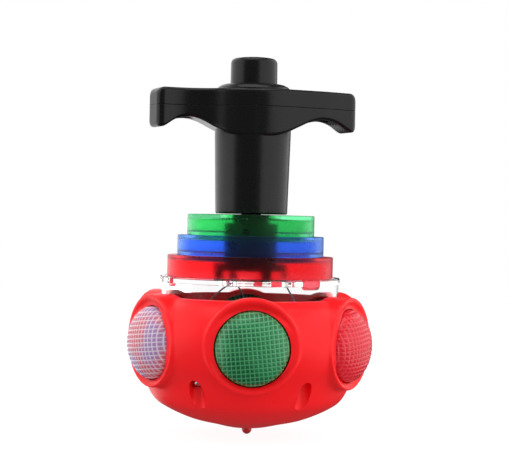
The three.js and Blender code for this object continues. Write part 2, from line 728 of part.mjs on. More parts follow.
// A bare lead from the board up to a tier LED, bent once on the way.
function tierWires() {
  const top = DECK_TOP - DECK_THICKNESS - SEAT;
  const low = BOARD_TOP + SEAT;
  const rise = top - low;
  const curve = new THREE.CatmullRomCurve3([
    new THREE.Vector3(-WIRE_LEAN, -TIER_LED_RING - 3, low),
    new THREE.Vector3(-0.92 * WIRE_LEAN, -TIER_LED_RING - 3, low + 0.5 * rise),
    new THREE.Vector3(-0.43 * WIRE_LEAN, -TIER_LED_RING - 1, low + 0.85 * rise),
    new THREE.Vector3(0, -TIER_LED_RING, top),
  ]);
  return circleOf("tier_wire", rod(curve, WIRE_RADIUS, 9, 6), "copper", tierLedAngles());
}

function batteryHolder() {
  const bottom = HOLDER_FLOOR;
  const tube = ring(HOLDER_BORE, HOLDER_RADIUS, bottom, HOLDER_TOP);
  const plate = disc(HOLDER_BORE + SEAT, bottom, bottom + HOLDER_WALL);
  const half = FIN_THICKNESS / 2;
  const root = -HOLDER_RADIUS + HOLDER_WALL / 2;
  const fin = block([-half, -HOLDER_RADIUS - FIN_REACH, bottom], [half, root, HOLDER_TOP - FIN_DROP]);
  const fins = union(screwAngles().map((angle) => placed(fin, 0, angle)));
  return node("battery_holder", tube.add(plate).add(fins), "black");
}

function cells() {
  return Array.from({ length: CELL_COUNT }, (_, i) => {
    const body = revolve(
      [
        [0, 0],
        [CELL_RADIUS * 0.8, 0],
        [CELL_RADIUS, CELL_HEIGHT * 0.15],
        [CELL_RADIUS, CELL_HEIGHT],
        [0, CELL_HEIGHT],
      ],
      MIDDLE,
    );
    const cell = node(`button_cell_${i + 1}`, body, "cell");
    cell.position.z = CELLS_BASE + i * (CELL_HEIGHT + SEAT);
    return cell;
  });
}

function contacts() {
  const low = HOLDER_FLOOR + HOLDER_WALL + SEAT;
  const minus = disc(CELL_RADIUS * 0.75, low, low + CONTACT_THICKNESS);
  const half = CELL_RADIUS / 4;
  const reach = HOLDER_BORE - FIT;
  const strip = block([-half, -reach, CELLS_TOP], [half, reach, CELLS_TOP + CONTACT_THICKNESS]);
  return [node("battery_contact_minus", minus, "copper"), node("battery_contact_plus", strip, "copper")];
}

function circuitBoard() {
  const board = disc(BOARD_RADIUS, BOARD_Z, BOARD_TOP);
  const notch = disc(POST_RADIUS + FIT, BOARD_Z - 1, BOARD_TOP + 1, COARSE);
  const notches = union(screwAngles().map((angle) => placed(notch, POCKET_RING - POST_RADIUS / 2, angle)));
  return node("circuit_board", board.subtract(notches), "board");
}

function buzzer() {
  const low = BOARD_TOP + SEAT;
  const can = revolve(
    [
      [0, low],
      [BUZZER_RADIUS, low],
      [BUZZER_RADIUS, low + BUZZER_HEIGHT],
      [BUZZER_HOLE, low + BUZZER_HEIGHT],
      [BUZZER_HOLE, low + 0.8 * BUZZER_HEIGHT],
      [0, low + 0.8 * BUZZER_HEIGHT],
    ],
    MIDDLE,
  );
  return node("buzzer", can.translate([0, BUZZER_RADIUS, 0]), "black");
}

function spinSwitch() {
  const height = BOARD_TOP + SEAT + SWITCH_RADIUS;
  const place = [BUZZER_RADIUS + 2 * SWITCH_RADIUS, -3 * SWITCH_RADIUS, height];
  const tube = disc(SWITCH_RADIUS, 0, SWITCH_LENGTH, COARSE).rotate([0, 90, 0]).translate(place);
  return node("spin_switch", tube, "cell");
}

// ---------------------------------------------------------------- screws

// A pan-head screw that points up from z = 0, with a cross recess in its head.
function screwBody(length) {
  const head = disc(SCREW_HEAD_RADIUS, -SCREW_HEAD_HEIGHT, 0, COARSE);
  const shaft = revolve(
    [[0, -0.1], [SCREW_RADIUS, -0.1], [SCREW_RADIUS, length - 1], [0, length]],
    COARSE,
  );
  const arm = 0.57 * SCREW_HEAD_RADIUS;
  const half = 0.13 * SCREW_HEAD_RADIUS;
  const deep = -0.56 * SCREW_HEAD_HEIGHT;
  const across = block([-arm, -half, -SCREW_HEAD_HEIGHT - 1], [arm, half, deep]);
  const along = block([-half, -arm, -SCREW_HEAD_HEIGHT - 1], [half, arm, deep]);
  return head.add(shaft).subtract(across.add(along));
}

function bodyScrews() {
  const body = screwBody(BODY_SCREW_LENGTH).translate([0, -POCKET_RING, POCKET_ROOF - SEAT]);
  return circleOf("body_screw", body, "steel", screwAngles());
}

// ---------------------------------------------------------------- handle

// The handle from above: half of an outline that repeats half a turn on.
// The wing's front bulges, its back is hollow, and its end is cut square.
function wingOutline() {
  const along = new THREE.Vector2(Math.cos(WING_END_ANGLE), Math.sin(WING_END_ANGLE));
  const across = new THREE.Vector2(-along.y, along.x);
  const end = new THREE.Vector2(HANDLE_REACH, WING_SWEEP);
  const front = end.clone().addScaledVector(across, -WING_END_HALF);
  const back = end.clone().addScaledVector(across, WING_END_HALF);
  const round = EDGE_ROUND;
  const at = (share, y) => new THREE.Vector2(HANDLE_REACH * share, y);
  const bulge = new THREE.SplineCurve([
    new THREE.Vector2(0, -HUB_RADIUS),
    at(0.22, -0.92 * HUB_RADIUS),
    at(0.45, -0.68 * HUB_RADIUS),
    at(0.7, -0.4 * HUB_RADIUS),
    front.clone().addScaledVector(along, -round),
  ]);
  const hollow = new THREE.SplineCurve([
    back.clone().addScaledVector(along, -round),
    at(0.76, 0.64 * HUB_RADIUS),
    at(0.6, 0.56 * HUB_RADIUS),
    at(0.45, 0.64 * HUB_RADIUS),
    at(0.25, 0.88 * HUB_RADIUS),
    new THREE.Vector2(0, HUB_RADIUS),
  ]);
  const corners = [
    front.clone().addScaledVector(along, -0.25 * round).addScaledVector(across, 0.25 * round),
    front.clone().addScaledVector(across, round),
    back.clone().addScaledVector(across, -round),
    back.clone().addScaledVector(along, -0.25 * round).addScaledVector(across, -0.25 * round),
  ];
  return [...bulge.getPoints(9), ...corners, ...hollow.getPoints(10).slice(0, -1)];
}

function handlePlan() {
  const half = wingOutline();
  return new THREE.Shape([...half, ...half.map(({ x, y }) => new THREE.Vector2(-x, -y))]);
}

// The handle from the front: a belly under the hub, a finger arch under each wing,
// and deep square ends.
function handleFront() {
  const reach = HANDLE_REACH + WING_END_HALF;
  const crown = HANDLE_REACH * ARCH_PLACE + 1;
  const end = HANDLE_REACH - 0.3;
  const low = HUB_TOP - TIP_DROP;
  const arch = HUB_Z + ARCH_RISE;
  const outline = new THREE.Shape();
  outline.moveTo(0, HUB_Z);
  outline.bezierCurveTo(crown * 0.55, HUB_Z, crown * 0.62, arch, crown, arch);
  outline.bezierCurveTo(crown + 3.2, arch, end - 4, low + 0.3, end, low);
  outline.quadraticCurveTo(reach - 1.5, low - 0.2, reach, low + 1.5);
  outline.lineTo(reach, HUB_TOP + 1);
  outline.lineTo(-reach, HUB_TOP + 1);
  outline.lineTo(-reach, low + 1.5);
  outline.quadraticCurveTo(-reach + 1.5, low - 0.2, -end, low);
  outline.bezierCurveTo(-end + 4, low + 0.3, -crown - 3.2, arch, -crown, arch);
  outline.bezierCurveTo(-crown * 0.62, arch, -crown * 0.55, HUB_Z, 0, HUB_Z);
  return outline;
}

function handleForm() {
  const bevel = {
    bevelEnabled: true,
    bevelThickness: EDGE_ROUND,
    bevelSize: EDGE_ROUND,
    bevelOffset: -EDGE_ROUND,
    bevelSegments: 2,
  };
  const plan = slab(handlePlan(), HUB_Z - 2, HUB_TOP - EDGE_ROUND, bevel);
  const depth = 2 * (HUB_RADIUS + WING_SWEEP + WING_END_HALF);
  const settings = { depth, bevelEnabled: false, curveSegments: 6 };
  const front = new THREE.ExtrudeGeometry(handleFront(), settings).rotateX(Math.PI / 2);
  return plan.intersect(solid(front.translate(0, depth / 2, 0)));
}

function stemForm() {
  const grown = STEM_RADIUS + STEM_DRAFT;
  return revolve(
    [
      [0, STEM_Z],
      [STEM_RADIUS - EDGE_ROUND / 2, STEM_Z],
      [STEM_RADIUS, STEM_Z + EDGE_ROUND / 2],
      [grown, HUB_Z],
      [grown, HUB_Z + HUB_HEIGHT / 3],
      [0, HUB_Z + HUB_HEIGHT / 3],
    ],
    FINE,
  );
}

function screwPlaces() {
  const x = HANDLE_REACH * ARCH_PLACE + EDGE_ROUND;
  const y = 0.08 * HUB_RADIUS;
  return [
    [x, y],
    [-x, -y],
  ];
}

const SCREW_SEAT = PARTING_Z - EDGE_ROUND;
const HANDLE_SCREW_LENGTH = HUB_TOP - SCREW_SEAT - ROOF;

function screwRoom() {
  const low = disc(SCREW_HEAD_RADIUS + FIT, HUB_Z, SCREW_SEAT, COARSE);
  const hole = disc(SCREW_RADIUS + THREAD_ROOM, HUB_Z, SCREW_SEAT + HANDLE_SCREW_LENGTH + FIT, COARSE);
  return union(screwPlaces().map(([x, y]) => low.add(hole).translate([x, y, 0])));
}

function handleLower() {
  const top = PARTING_Z - PARTING_GAP / 2;
  const keep = disc(2 * HANDLE_REACH, 0, top);
  const bore = disc(STEM_BORE, 0, BUTTON_TOP);
  const seat = disc(CAVITY_RADIUS, RETAINER_Z - SEAT, BUTTON_TOP);
  const mass = handleForm().add(stemForm()).intersect(keep);
  return node("handle_lower", mass.subtract(bore).subtract(seat).subtract(screwRoom()), "black");
}

function bossForm() {
  const bulge = HUB_TOP + 0.45 * BOSS_HEIGHT;
  return revolve(
    [
      [0, HUB_TOP - 1],
      [BOSS_RADIUS, HUB_TOP - 1],
      [BOSS_RADIUS, HUB_TOP],
      [BOSS_RADIUS - 0.5, bulge],
      [BOSS_TOP_RADIUS + 0.4, BOSS_TOP - 0.15],
      [BOSS_TOP_RADIUS, BOSS_TOP],
      [0, BOSS_TOP],
    ],
    MIDDLE,
  );
}

function handleUpper() {
  const low = PARTING_Z + PARTING_GAP / 2;
  const keep = disc(2 * HANDLE_REACH, low, BUTTON_TOP);
  const cavity = disc(CAVITY_RADIUS, 0, CAVITY_TOP);
  const hole = disc(BUTTON_RADIUS + SLIDE, 0, BUTTON_TOP);
  const mass = handleForm().add(bossForm()).intersect(keep);
  return node("handle_upper", mass.subtract(cavity).subtract(hole).subtract(screwRoom()), "black");
}

function handleScrews() {
  return screwPlaces().map(([x, y], i) => {
    const screw = node(`handle_screw_${i + 1}`, screwBody(HANDLE_SCREW_LENGTH), "steel");
    screw.position.set(x, y, SCREW_SEAT - SEAT);
    return screw;
  });
}

// A bush that closes the stem and carries the lower end of the spindle.
function stemEndCap() {
  const inner = SHAFT_RADIUS + SLIDE;
  const outer = STEM_BORE - SEAT;
  const wall = (outer - inner) / 3;
  const cap = ring(inner, outer, CAP_Z, CAP_TOP);
  const groove = ring(inner + wall, outer - wall, 0, CAP_Z + 0.4 * CAP_THICKNESS);
  return node("stem_end_cap", cap.subtract(groove), "black");
}

// Room for the button's two legs, or the legs themselves with no clearance.
function legs(low, high, clearance) {
  const band = ring(LEG_INNER - clearance, LEG_OUTER + clearance, low, high);
  const half = LEG_WIDTH / 2 + clearance;
  const reach = STEM_BORE + 2;
  return band.intersect(block([-half, -reach, low], [half, reach, high]));
}

function springRetainer() {
  const plate = ring(SHAFT_RADIUS + SLIDE, CAVITY_RADIUS - SEAT, RETAINER_Z, RETAINER_TOP);
  const room = legs(RETAINER_Z - 1, RETAINER_TOP + 1, SLIDE).add(
    legs(RETAINER_Z - 1, RETAINER_TOP + 1, SLIDE).scale([1.08, 1.08, 1]),
  );
  return node("spring_retainer", plate.subtract(room), "black");
}

// ---------------------------------------------------------------- ratchet and spindle

// One saw tooth bent round the axis: a ramp over one pitch, then a square face.
// Its root is sunk, so that it joins the plate it stands on.
function toothForm(sunk) {
  const slice = new THREE.Shape([
    new THREE.Vector2(0, -sunk),
    new THREE.Vector2(1, -sunk),
    new THREE.Vector2(1, TOOTH_HEIGHT),
    new THREE.Vector2(0, 0),
  ]);
  const straight = new THREE.ExtrudeGeometry(slice, { depth: 1, bevelEnabled: false });
  const place = straight.getAttribute("position");
  const pitch = TURN / TOOTH_COUNT;
  for (let i = 0; i < place.count; i += 1) {
    const angle = place.getX(i) * pitch;
    const radius = TOOTH_INNER + place.getZ(i) * (TOOTH_OUTER - TOOTH_INNER);
    place.setXYZ(i, radius * Math.cos(angle), radius * Math.sin(angle), place.getY(i));
  }
  return solid(straight);
}

function toothRing() {
  const tooth = toothForm(TOOTH_SINK);
  const turns = Array.from({ length: TOOTH_COUNT }, (_, i) => (i * 360) / TOOTH_COUNT);
  return union(turns.map((turn) => tooth.rotate([0, 0, turn])));
}

function ratchetCollar() {
  const plate = ring(SHAFT_RADIUS + SLIDE, LEG_OUTER, COLLAR_Z, COLLAR_TOP);
  return node("ratchet_collar", plate.add(toothRing().translate([0, 0, COLLAR_TOP])), "black");
}

// The spindle: a stepped shaft with a flange whose teeth face the collar.
function driveSpindle() {
  const foot = SOCKET_FLOOR + 4 * FIT + DOG_FLOOR;
  const step = STEM_Z - FIT;
  const top = RETAINER_TOP + 1;
  const shaft = revolve(
    [
      [0, foot],
      [SHAFT_FOOT_RADIUS, foot],
      [SHAFT_FOOT_RADIUS, step],
      [SHAFT_RADIUS, step],
      [SHAFT_RADIUS, FLANGE_Z],
      [TOOTH_OUTER, FLANGE_Z],
      [TOOTH_OUTER, FLANGE_TOP],
      [SHAFT_RADIUS, FLANGE_TOP],
      [SHAFT_RADIUS, top],
      [0, top],
    ],
    MIDDLE,
  );
  const teeth = toothRing().rotate([180, 0, 0]).translate([0, 0, FLANGE_Z]);
  return node("drive_spindle", shaft.add(teeth), "black");
}

// The driving dog on the spindle's foot: a cup with two lugs for the socket's slots.
function driveDog() {
  const low = SOCKET_FLOOR + FIT;
  const top = STEM_Z - 2 * FIT;
  const hub = disc(DOG_RADIUS, low, top);
  const reach = SOCKET_BORE + SLOT_DEPTH - FIT;
  const half = SLOT_WIDTH / 2 - FIT;
  const foot = low + DOG_LUG_RISE;
  const lugs = block([-reach, -half, foot], [reach, half, foot + DOG_LUG_HEIGHT]);
  const bore = disc(SHAFT_FOOT_RADIUS + SEAT, SOCKET_FLOOR + 3 * FIT + DOG_FLOOR, BUTTON_TOP);
  return node("drive_dog", hub.add(lugs).subtract(bore), "black");
}

// A coil spring round the shaft, between two heights that its wire doesn't touch.
function coilSpring(name, wire, turns, low, high) {
  const radius = SHAFT_RADIUS + SLIDE + SPRING_ROOM + wire;
  const coil = new Helix(radius, low + wire + FIT, high - wire - FIT, turns);
  return node(name, rod(coil, wire, turns * SPRING_STEPS, 5), "steel");
}

function mainSpring() {
  return coilSpring("main_spring", MAIN_SPRING_WIRE, MAIN_SPRING_TURNS, FLANGE_TOP, RETAINER_Z);
}

function returnSpring() {
  return coilSpring("return_spring", RETURN_SPRING_WIRE, RETURN_SPRING_TURNS, CAP_TOP, COLLAR_Z);
}

// The button: a hollow cap with a flange under the handle's roof and two legs.
function releaseButton() {
  const arc = new THREE.Path().absarc(
    BUTTON_RADIUS - BUTTON_ROUND,
    BUTTON_TOP - BUTTON_ROUND,
    BUTTON_ROUND,
    0,
    Math.PI / 2,
    false,
  );
  const corner = arc.getPoints(3).map(({ x, y }) => [x, y]);
  const inner = BUTTON_RADIUS - BUTTON_WALL;
  const cap = revolve(
    [
      [inner, BUTTON_FLANGE_Z],
      [LEG_OUTER, BUTTON_FLANGE_Z],
      [LEG_OUTER, BUTTON_FLANGE_TOP],
      [BUTTON_RADIUS, BUTTON_FLANGE_TOP],
      ...corner,
      [0, BUTTON_TOP],
      [0, BUTTON_TOP - BUTTON_WALL],
      [inner, BUTTON_TOP - BUTTON_WALL],
    ],
    MIDDLE,
  );
  return node("release_button", cap.add(legs(COLLAR_TOP + SEAT, BUTTON_FLANGE_Z + 0.2, 0)), "black");
}

// ---------------------------------------------------------------- the whole object

const spinner = assembly(
  bowl(),
  tip(),
  lenses(),
  clearCover(),
  tiers(),
  driveSocket(),
  bodyScrews(),
  batteryHolder(),
  cells(),
  contacts(),
  circuitBoard(),
  buzzer(),
  spinSwitch(),
  lensLeds(),
  tierLeds(),
  tierWires(),
);

const launcher = assembly(
  driveSpindle(),
  driveDog(),
  mainSpring(),
  handleLower(),
  handleUpper(),
  handleScrews(),
  stemEndCap(),
  springRetainer(),
  releaseButton(),
  ratchetCollar(),
  returnSpring(),
);

const top = assembly(spinner, launcher);

export default top;
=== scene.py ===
"""Looks of a light-up spinning top with a winged wind-up launcher.

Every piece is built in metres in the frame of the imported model, rides on one of its bodies and stands
for the plain solid that holds its place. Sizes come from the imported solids' boxes, or are fields of the
sub-assembly they belong to.
"""

import json
import logging
import math
from dataclasses import dataclass, field
from enum import Enum
from typing import Iterable, Sequence

import bpy
from mathutils import Matrix, Quaternion, Vector


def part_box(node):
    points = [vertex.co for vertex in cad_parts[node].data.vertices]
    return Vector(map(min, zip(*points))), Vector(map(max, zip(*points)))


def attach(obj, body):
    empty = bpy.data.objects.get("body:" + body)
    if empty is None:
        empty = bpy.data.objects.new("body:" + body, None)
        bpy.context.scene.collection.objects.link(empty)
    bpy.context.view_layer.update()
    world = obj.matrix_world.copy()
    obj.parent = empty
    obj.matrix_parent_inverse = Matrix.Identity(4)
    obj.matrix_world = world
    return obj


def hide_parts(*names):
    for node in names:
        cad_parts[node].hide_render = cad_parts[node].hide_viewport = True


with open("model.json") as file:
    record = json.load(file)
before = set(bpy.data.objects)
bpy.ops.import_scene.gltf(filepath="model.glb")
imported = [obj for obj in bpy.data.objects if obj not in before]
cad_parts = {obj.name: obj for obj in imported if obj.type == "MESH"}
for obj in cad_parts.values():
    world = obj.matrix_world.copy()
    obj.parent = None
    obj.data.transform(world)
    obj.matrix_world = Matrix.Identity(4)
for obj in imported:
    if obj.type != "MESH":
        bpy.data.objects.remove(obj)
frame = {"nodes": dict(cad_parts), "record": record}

MM = 0.001
LOG = logging.getLogger("spinning_top")
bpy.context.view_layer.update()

Pair = tuple[float, float]
Corner = tuple[float, float, float]
Point = tuple[float, float, float]
Piece = bpy.types.Object
Node = bpy.types.Node
Socket = bpy.types.NodeSocket


class Body(str, Enum):
    """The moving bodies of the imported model."""

    SPINNER = "spinner"
    SPINDLE = "spindle"
    HANDLE = "handle"
    BUTTON = "button"


class Cut(str, Enum):
    """What a boolean does with the second solid."""

    JOIN = "UNION"
    REMOVE = "DIFFERENCE"
    KEEP = "INTERSECT"


# ---------------------------------------------------------------- finishes


@dataclass(frozen=True)
class NodeSheet:
    """A material's node tree with short calls to add and link nodes.

    Attributes:
        tree: the node tree that is being laid out.
    """

    tree: bpy.types.NodeTree

    def add(self, kind: str, **settings: object) -> Node:
        """Add a node.

        Args:
            kind: the node's type name.
            **settings: attributes of the node, or values of its inputs.

        Returns:
            The new node.
        """
        node = self.tree.nodes.new(kind)
        for key, value in settings.items():
            label = key.replace("_", " ").title()
            if hasattr(node, key):
                setattr(node, key, value)
            else:
                node.inputs[label].default_value = value
        return node

    def link(self, source: Socket, target: Socket) -> None:
        """Link an output to an input."""
        self.tree.links.new(source, target)

    def place(self, scale: Point = (1.0, 1.0, 1.0)) -> Socket:
        """Give object coordinates, stretched.

        Args:
            scale: how much each axis is stretched.

        Returns:
            The vector socket.
        """
        where = self.add("ShaderNodeTexCoord")
        stretch = self.add("ShaderNodeMapping")
        stretch.inputs["Scale"].default_value = scale
        self.link(where.outputs["Object"], stretch.inputs["Vector"])
        return stretch.outputs["Vector"]

    def noise(self, scale: float, detail: float = 2.0, stretch: Point = (1.0, 1.0, 1.0)) -> Socket:
        """Give a noise value.

        Args:
            scale: cells per metre.
            detail: octaves.
            stretch: stretch of the object coordinates.

        Returns:
            The value socket, from 0 to 1.
        """
        node = self.add("ShaderNodeTexNoise", scale=scale, detail=detail)
        self.link(self.place(stretch), node.inputs["Vector"])
        return node.outputs["Fac"]

    def between(self, value: Socket, low: float, high: float) -> Socket:
        """Map a value from 0..1 to a range.

        Args:
            value: the value socket.
            low: the result at 0.
            high: the result at 1.

        Returns:
            The mapped value's socket.
        """
        node = self.add("ShaderNodeMapRange")
        node.inputs["To Min"].default_value = low
        node.inputs["To Max"].default_value = high
        self.link(value, node.inputs["Value"])
        return node.outputs["Result"]

    def tinted(self, value: Socket, dark: Sequence[float], light: Sequence[float]) -> Socket:
        """Blend two colours by a value.

        Args:
            value: 0 gives the dark colour, 1 the light one.
            dark: linear red, green and blue.
            light: linear red, green and blue.

        Returns:
            The colour socket.
        """
        node = self.add("ShaderNodeMix", data_type="RGBA")
        colours = [s for s in node.inputs if s.type == "RGBA"]
        colours[0].default_value = (*dark, 1.0)
        colours[1].default_value = (*light, 1.0)
        self.link(value, node.inputs[0])
        return next(s for s in node.outputs if s.type == "RGBA")

    def background(self, strength: float) -> Node:
        """Add a white background of a strength."""
        node = self.add("ShaderNodeBackground", strength=strength)
        node.inputs["Color"].default_value = (1.0, 1.0, 1.0, 1.0)
        return node

    def mixed(self, value: Socket, start: Socket, end: Sequence[float]) -> Socket:
        """Blend a colour socket towards a colour.

        Args:
            value: 0 gives the socket's colour, 1 the other one.
            start: the colour's socket.
            end: linear red, green and blue.

        Returns:
            The colour socket.
        """
        node = self.add("ShaderNodeMix", data_type="RGBA")
        colours = [s for s in node.inputs if s.type == "RGBA"]
        colours[1].default_value = (*end, 1.0)
        self.link(start, colours[0])
        self.link(value, node.inputs[0])
        return next(s for s in node.outputs if s.type == "RGBA")

    def ramp(self, value: Socket, low: float, high: float) -> Socket:
        """Spread the part of a value between two limits to 0..1, with soft ends.

        Args:
            value: the value socket.
            low: what becomes 0.
            high: what becomes 1.

        Returns:
            The spread value's socket.
        """
        node = self.add("ShaderNodeMapRange", interpolation_type="SMOOTHSTEP")
        node.inputs["From Min"].default_value = low
        node.inputs["From Max"].default_value = high
        self.link(value, node.inputs["Value"])
        return node.outputs["Result"]

    def bump(self, height: Socket, depth_mm: float, strength: float = 1.0) -> Socket:
        """Turn a height into a normal.

        Args:
            height: the height's socket, from 0 to 1.
            depth_mm: how deep a height of 1 is.
            strength: share of the effect.

        Returns:
            The normal's socket.
        """
        node = self.add("ShaderNodeBump", strength=strength, distance=depth_mm * MM)
        self.link(height, node.inputs["Height"])
        return node.outputs["Normal"]


def shade(colour: Sequence[float], factor: float) -> tuple[float, ...]:
    """Scale a colour.

    Args:
        colour: linear red, green and blue.
        factor: how much lighter the result is.

    Returns:
        The scaled colour, at most 1 in each channel.
    """
    return tuple(min(1.0, channel * factor) for channel in colour)


@dataclass(frozen=True)
class Finish:
    """A surface finish, made into a material once.

    Attributes:
        name: the material's name.
        colour: linear red, green and blue.
        roughness: mean roughness.
    """

    name: str
    colour: tuple[float, float, float]
    roughness: float

    def material(self) -> bpy.types.Material:
        """Give this finish's material, built at its first use."""
        known = bpy.data.materials.get(self.name)
        if known:
            return known
        made = bpy.data.materials.new(self.name)
        made.use_nodes = True
        sheet = NodeSheet(made.node_tree)
        shader = made.node_tree.nodes["Principled BSDF"]
        made.diffuse_color = (*self.colour, 1.0)
        self.lay_out(sheet, shader)
        return made

    def lay_out(self, sheet: NodeSheet, shader: Node) -> None:
        """Lay out the nodes of this finish.

        Args:
            sheet: the material's node sheet.
            shader: its main shader.
        """
        raise NotImplementedError

    def mottle(self, sheet: NodeSheet, shader: Node, scale: float, spread: float) -> None:
        """Vary the colour and the roughness a little over the surface.

        Args:
            sheet: the material's node sheet.
            shader: its main shader.
            scale: cells per metre.
            spread: half of the colour's range, as a share of the colour.
        """
        patch = sheet.noise(scale, 3.0)
        colour = sheet.tinted(patch, shade(self.colour, 1 - spread), shade(self.colour, 1 + spread))
        sheet.link(colour, shader.inputs["Base Color"])
        smear = sheet.noise(scale * 2.7, 4.0)
        rough = sheet.between(smear, self.roughness * 0.8, self.roughness * 1.25)
        sheet.link(rough, shader.inputs["Roughness"])


@dataclass(frozen=True)
class MouldedPlastic(Finish):
    """Opaque moulded plastic with a faint orange peel.

    Attributes:
        peel_mm: depth of the orange peel.
        gloss: strength of the mirror reflection.
    """

    peel_mm: float = 0.012
    gloss: float = 0.5

    def lay_out(self, sheet: NodeSheet, shader: Node) -> None:
        """Lay out colour variation, orange peel and gloss.

        Args:
            sheet: the material's node sheet.
            shader: its main shader.
        """
        self.mottle(sheet, shader, 90.0, 0.035)
        shader.inputs["Specular IOR Level"].default_value = self.gloss
        shader.inputs["IOR"].default_value = 1.5
        sheet.link(sheet.bump(sheet.noise(700.0, 2.0), self.peel_mm), shader.inputs["Normal"])


@dataclass(frozen=True)
class TintedPlastic(Finish):
    """Clear or tinted see-through plastic.

    Attributes:
        passing: share of the light that passes through.
        flow_mm: depth of the flow marks left by moulding.
        flow_scale: flow marks per metre.
        bend: index of refraction.
    """

    passing: float = 1.0
    flow_mm: float = 0.01
    flow_scale: float = 160.0
    bend: float = 1.49

    def lay_out(self, sheet: NodeSheet, shader: Node) -> None:
        """Lay out the tint, the flow marks and the transmission.

        Args:
            sheet: the material's node sheet.
            shader: its main shader.
        """
        self.mottle(sheet, shader, 60.0, 0.02)
        shader.inputs["Transmission Weight"].default_value = self.passing
        shader.inputs["IOR"].default_value = self.bend
        flow = sheet.noise(self.flow_scale, 2.0, (1.0, 1.0, 0.35))
        sheet.link(sheet.bump(flow, self.flow_mm), shader.inputs["Normal"])


@dataclass(frozen=True)
class PrismPlastic(Finish):
    """See-through plastic with a painted highlight along the borders of its prism grid, round darker cells.

    The mesh carries the painted highlight's strength as a point attribute named "line".

    Attributes:
        line: linear colour of the painted highlight along the borders of the grid's prisms.
        shift: linear colour that drifts over some of the cells.
        passing: share of the light that passes through.
    """

    line: tuple[float, float, float] = (0.9, 0.9, 0.9)
    shift: tuple[float, float, float] = (0.5, 0.5, 0.5)
    passing: float = 0.4

    def lay_out(self, sheet: NodeSheet, shader: Node) -> None:
        """Lay out cells, the painted highlight along the grid and transmission.

        Args:
            sheet: the material's node sheet.
            shader: its main shader.
        """
        drift = sheet.ramp(sheet.noise(130.0, 1.0), 0.4, 0.62)
        cells = sheet.tinted(drift, self.colour, self.shift)
        # Painted highlight: the line colour is laid over the cells where the "line" attribute marks the
        # prisms' borders.
        grid = sheet.add("ShaderNodeAttribute", attribute_name="line")
        colour = sheet.mixed(grid.outputs["Fac"], cells, self.line)
        sheet.link(colour, shader.inputs["Base Color"])
        rough = sheet.between(sheet.noise(400.0, 2.0), self.roughness * 0.8, self.roughness * 1.2)
        sheet.link(rough, shader.inputs["Roughness"])
        shader.inputs["Transmission Weight"].default_value = self.passing
        shader.inputs["IOR"].default_value = 1.49


@dataclass(frozen=True)
class Metal(Finish):
    """Bright or drawn metal with fine scratches.

    Attributes:
        grain: stretch of the scratches along each axis.
    """

    grain: tuple[float, float, float] = (1.0, 1.0, 8.0)

    def lay_out(self, sheet: NodeSheet, shader: Node) -> None:
        """Lay out the metal and its scratches.

        Args:
            sheet: the material's node sheet.
            shader: its main shader.
        """
        self.mottle(sheet, shader, 300.0, 0.06)
        shader.inputs["Metallic"].default_value = 1.0
        sheet.link(sheet.bump(sheet.noise(1500.0, 3.0, self.grain), 0.006), shader.inputs["Normal"])


@dataclass(frozen=True)
class Laminate(Finish):
    """Solder-masked circuit board with copper tracks under the mask.

    Attributes:
        track: linear colour over the tracks.
        pitch: tracks per metre.
    """

    track: tuple[float, float, float] = (0.09, 0.32, 0.12)
    pitch: float = 260.0

    def lay_out(self, sheet: NodeSheet, shader: Node) -> None:
        """Lay out tracks as stepped cells, with a raised edge.

        Args:
            sheet: the material's node sheet.
            shader: its main shader.
        """
        cells = sheet.add("ShaderNodeTexVoronoi", distance="MANHATTAN", feature="F1", scale=self.pitch)
        sheet.link(sheet.place(), cells.inputs["Vector"])
        step = sheet.add("ShaderNodeMath", operation="GREATER_THAN")
        step.inputs[1].default_value = 0.42
        sheet.link(cells.outputs["Distance"], step.inputs[0])
        colour = sheet.tinted(step.outputs["Value"], self.colour, self.track)
        sheet.link(colour, shader.inputs["Base Color"])
        shader.inputs["Roughness"].default_value = self.roughness
        sheet.link(sheet.bump(step.outputs["Value"], 0.03), shader.inputs["Normal"])


RED = MouldedPlastic("red_shell", (0.90, 0.006, 0.010), 0.34, peel_mm=0.010, gloss=0.22)
DARK_RED = MouldedPlastic("tip_red", (0.42, 0.006, 0.014), 0.28)
BLACK = MouldedPlastic("black_launcher", (0.0050, 0.0050, 0.0052), 0.27, peel_mm=0.006, gloss=0.36)
INNER_BLACK = MouldedPlastic("black_inner", (0.009, 0.009, 0.010), 0.45, peel_mm=0.02)
CLEAR = TintedPlastic("clear_cover_plastic", (0.98, 0.98, 0.985), 0.0, flow_mm=0.001, bend=1.16)
# The line colours below are painted highlights along the borders of the lenses' prism grids.
LENS_CLEAR = PrismPlastic(
    "lens_clear", (0.72, 0.15, 0.21), 0.10, line=(0.90, 0.80, 0.84), shift=(0.42, 0.26, 0.52), passing=0.25
)
LENS_GREEN = PrismPlastic(
    "lens_green", (0.008, 0.12, 0.040), 0.12, line=(0.10, 0.44, 0.19), shift=(0.02, 0.20, 0.07), passing=0.2
)
LENS_RED = PrismPlastic(
    "lens_red", (0.70, 0.010, 0.025), 0.12, line=(0.92, 0.06, 0.085), shift=(0.78, 0.015, 0.03), passing=0.2
)
TIER_RED = TintedPlastic("tier_red", (0.92, 0.06, 0.085), 0.28, flow_mm=0.004, bend=1.2)
TIER_BLUE = TintedPlastic("tier_blue", (0.13, 0.32, 0.88), 0.28, flow_mm=0.004, bend=1.2)
TIER_GREEN = TintedPlastic("tier_green", (0.13, 0.68, 0.29), 0.28, flow_mm=0.004, bend=1.2)
LED_EPOXY = TintedPlastic("led_epoxy", (0.93, 0.94, 0.95), 0.08, passing=0.85)
STEEL = Metal("plated_steel", (0.72, 0.72, 0.73), 0.28)
SPRING = Metal("spring_wire", (0.50, 0.50, 0.51), 0.34, grain=(6.0, 6.0, 1.0))
CELL = Metal("cell_case", (0.74, 0.75, 0.76), 0.24, grain=(1.0, 1.0, 12.0))
LEAD = Metal("tinned_lead", (0.20, 0.17, 0.17), 0.45)
BOARD = Laminate("board_mask", (0.04, 0.20, 0.07), 0.45)

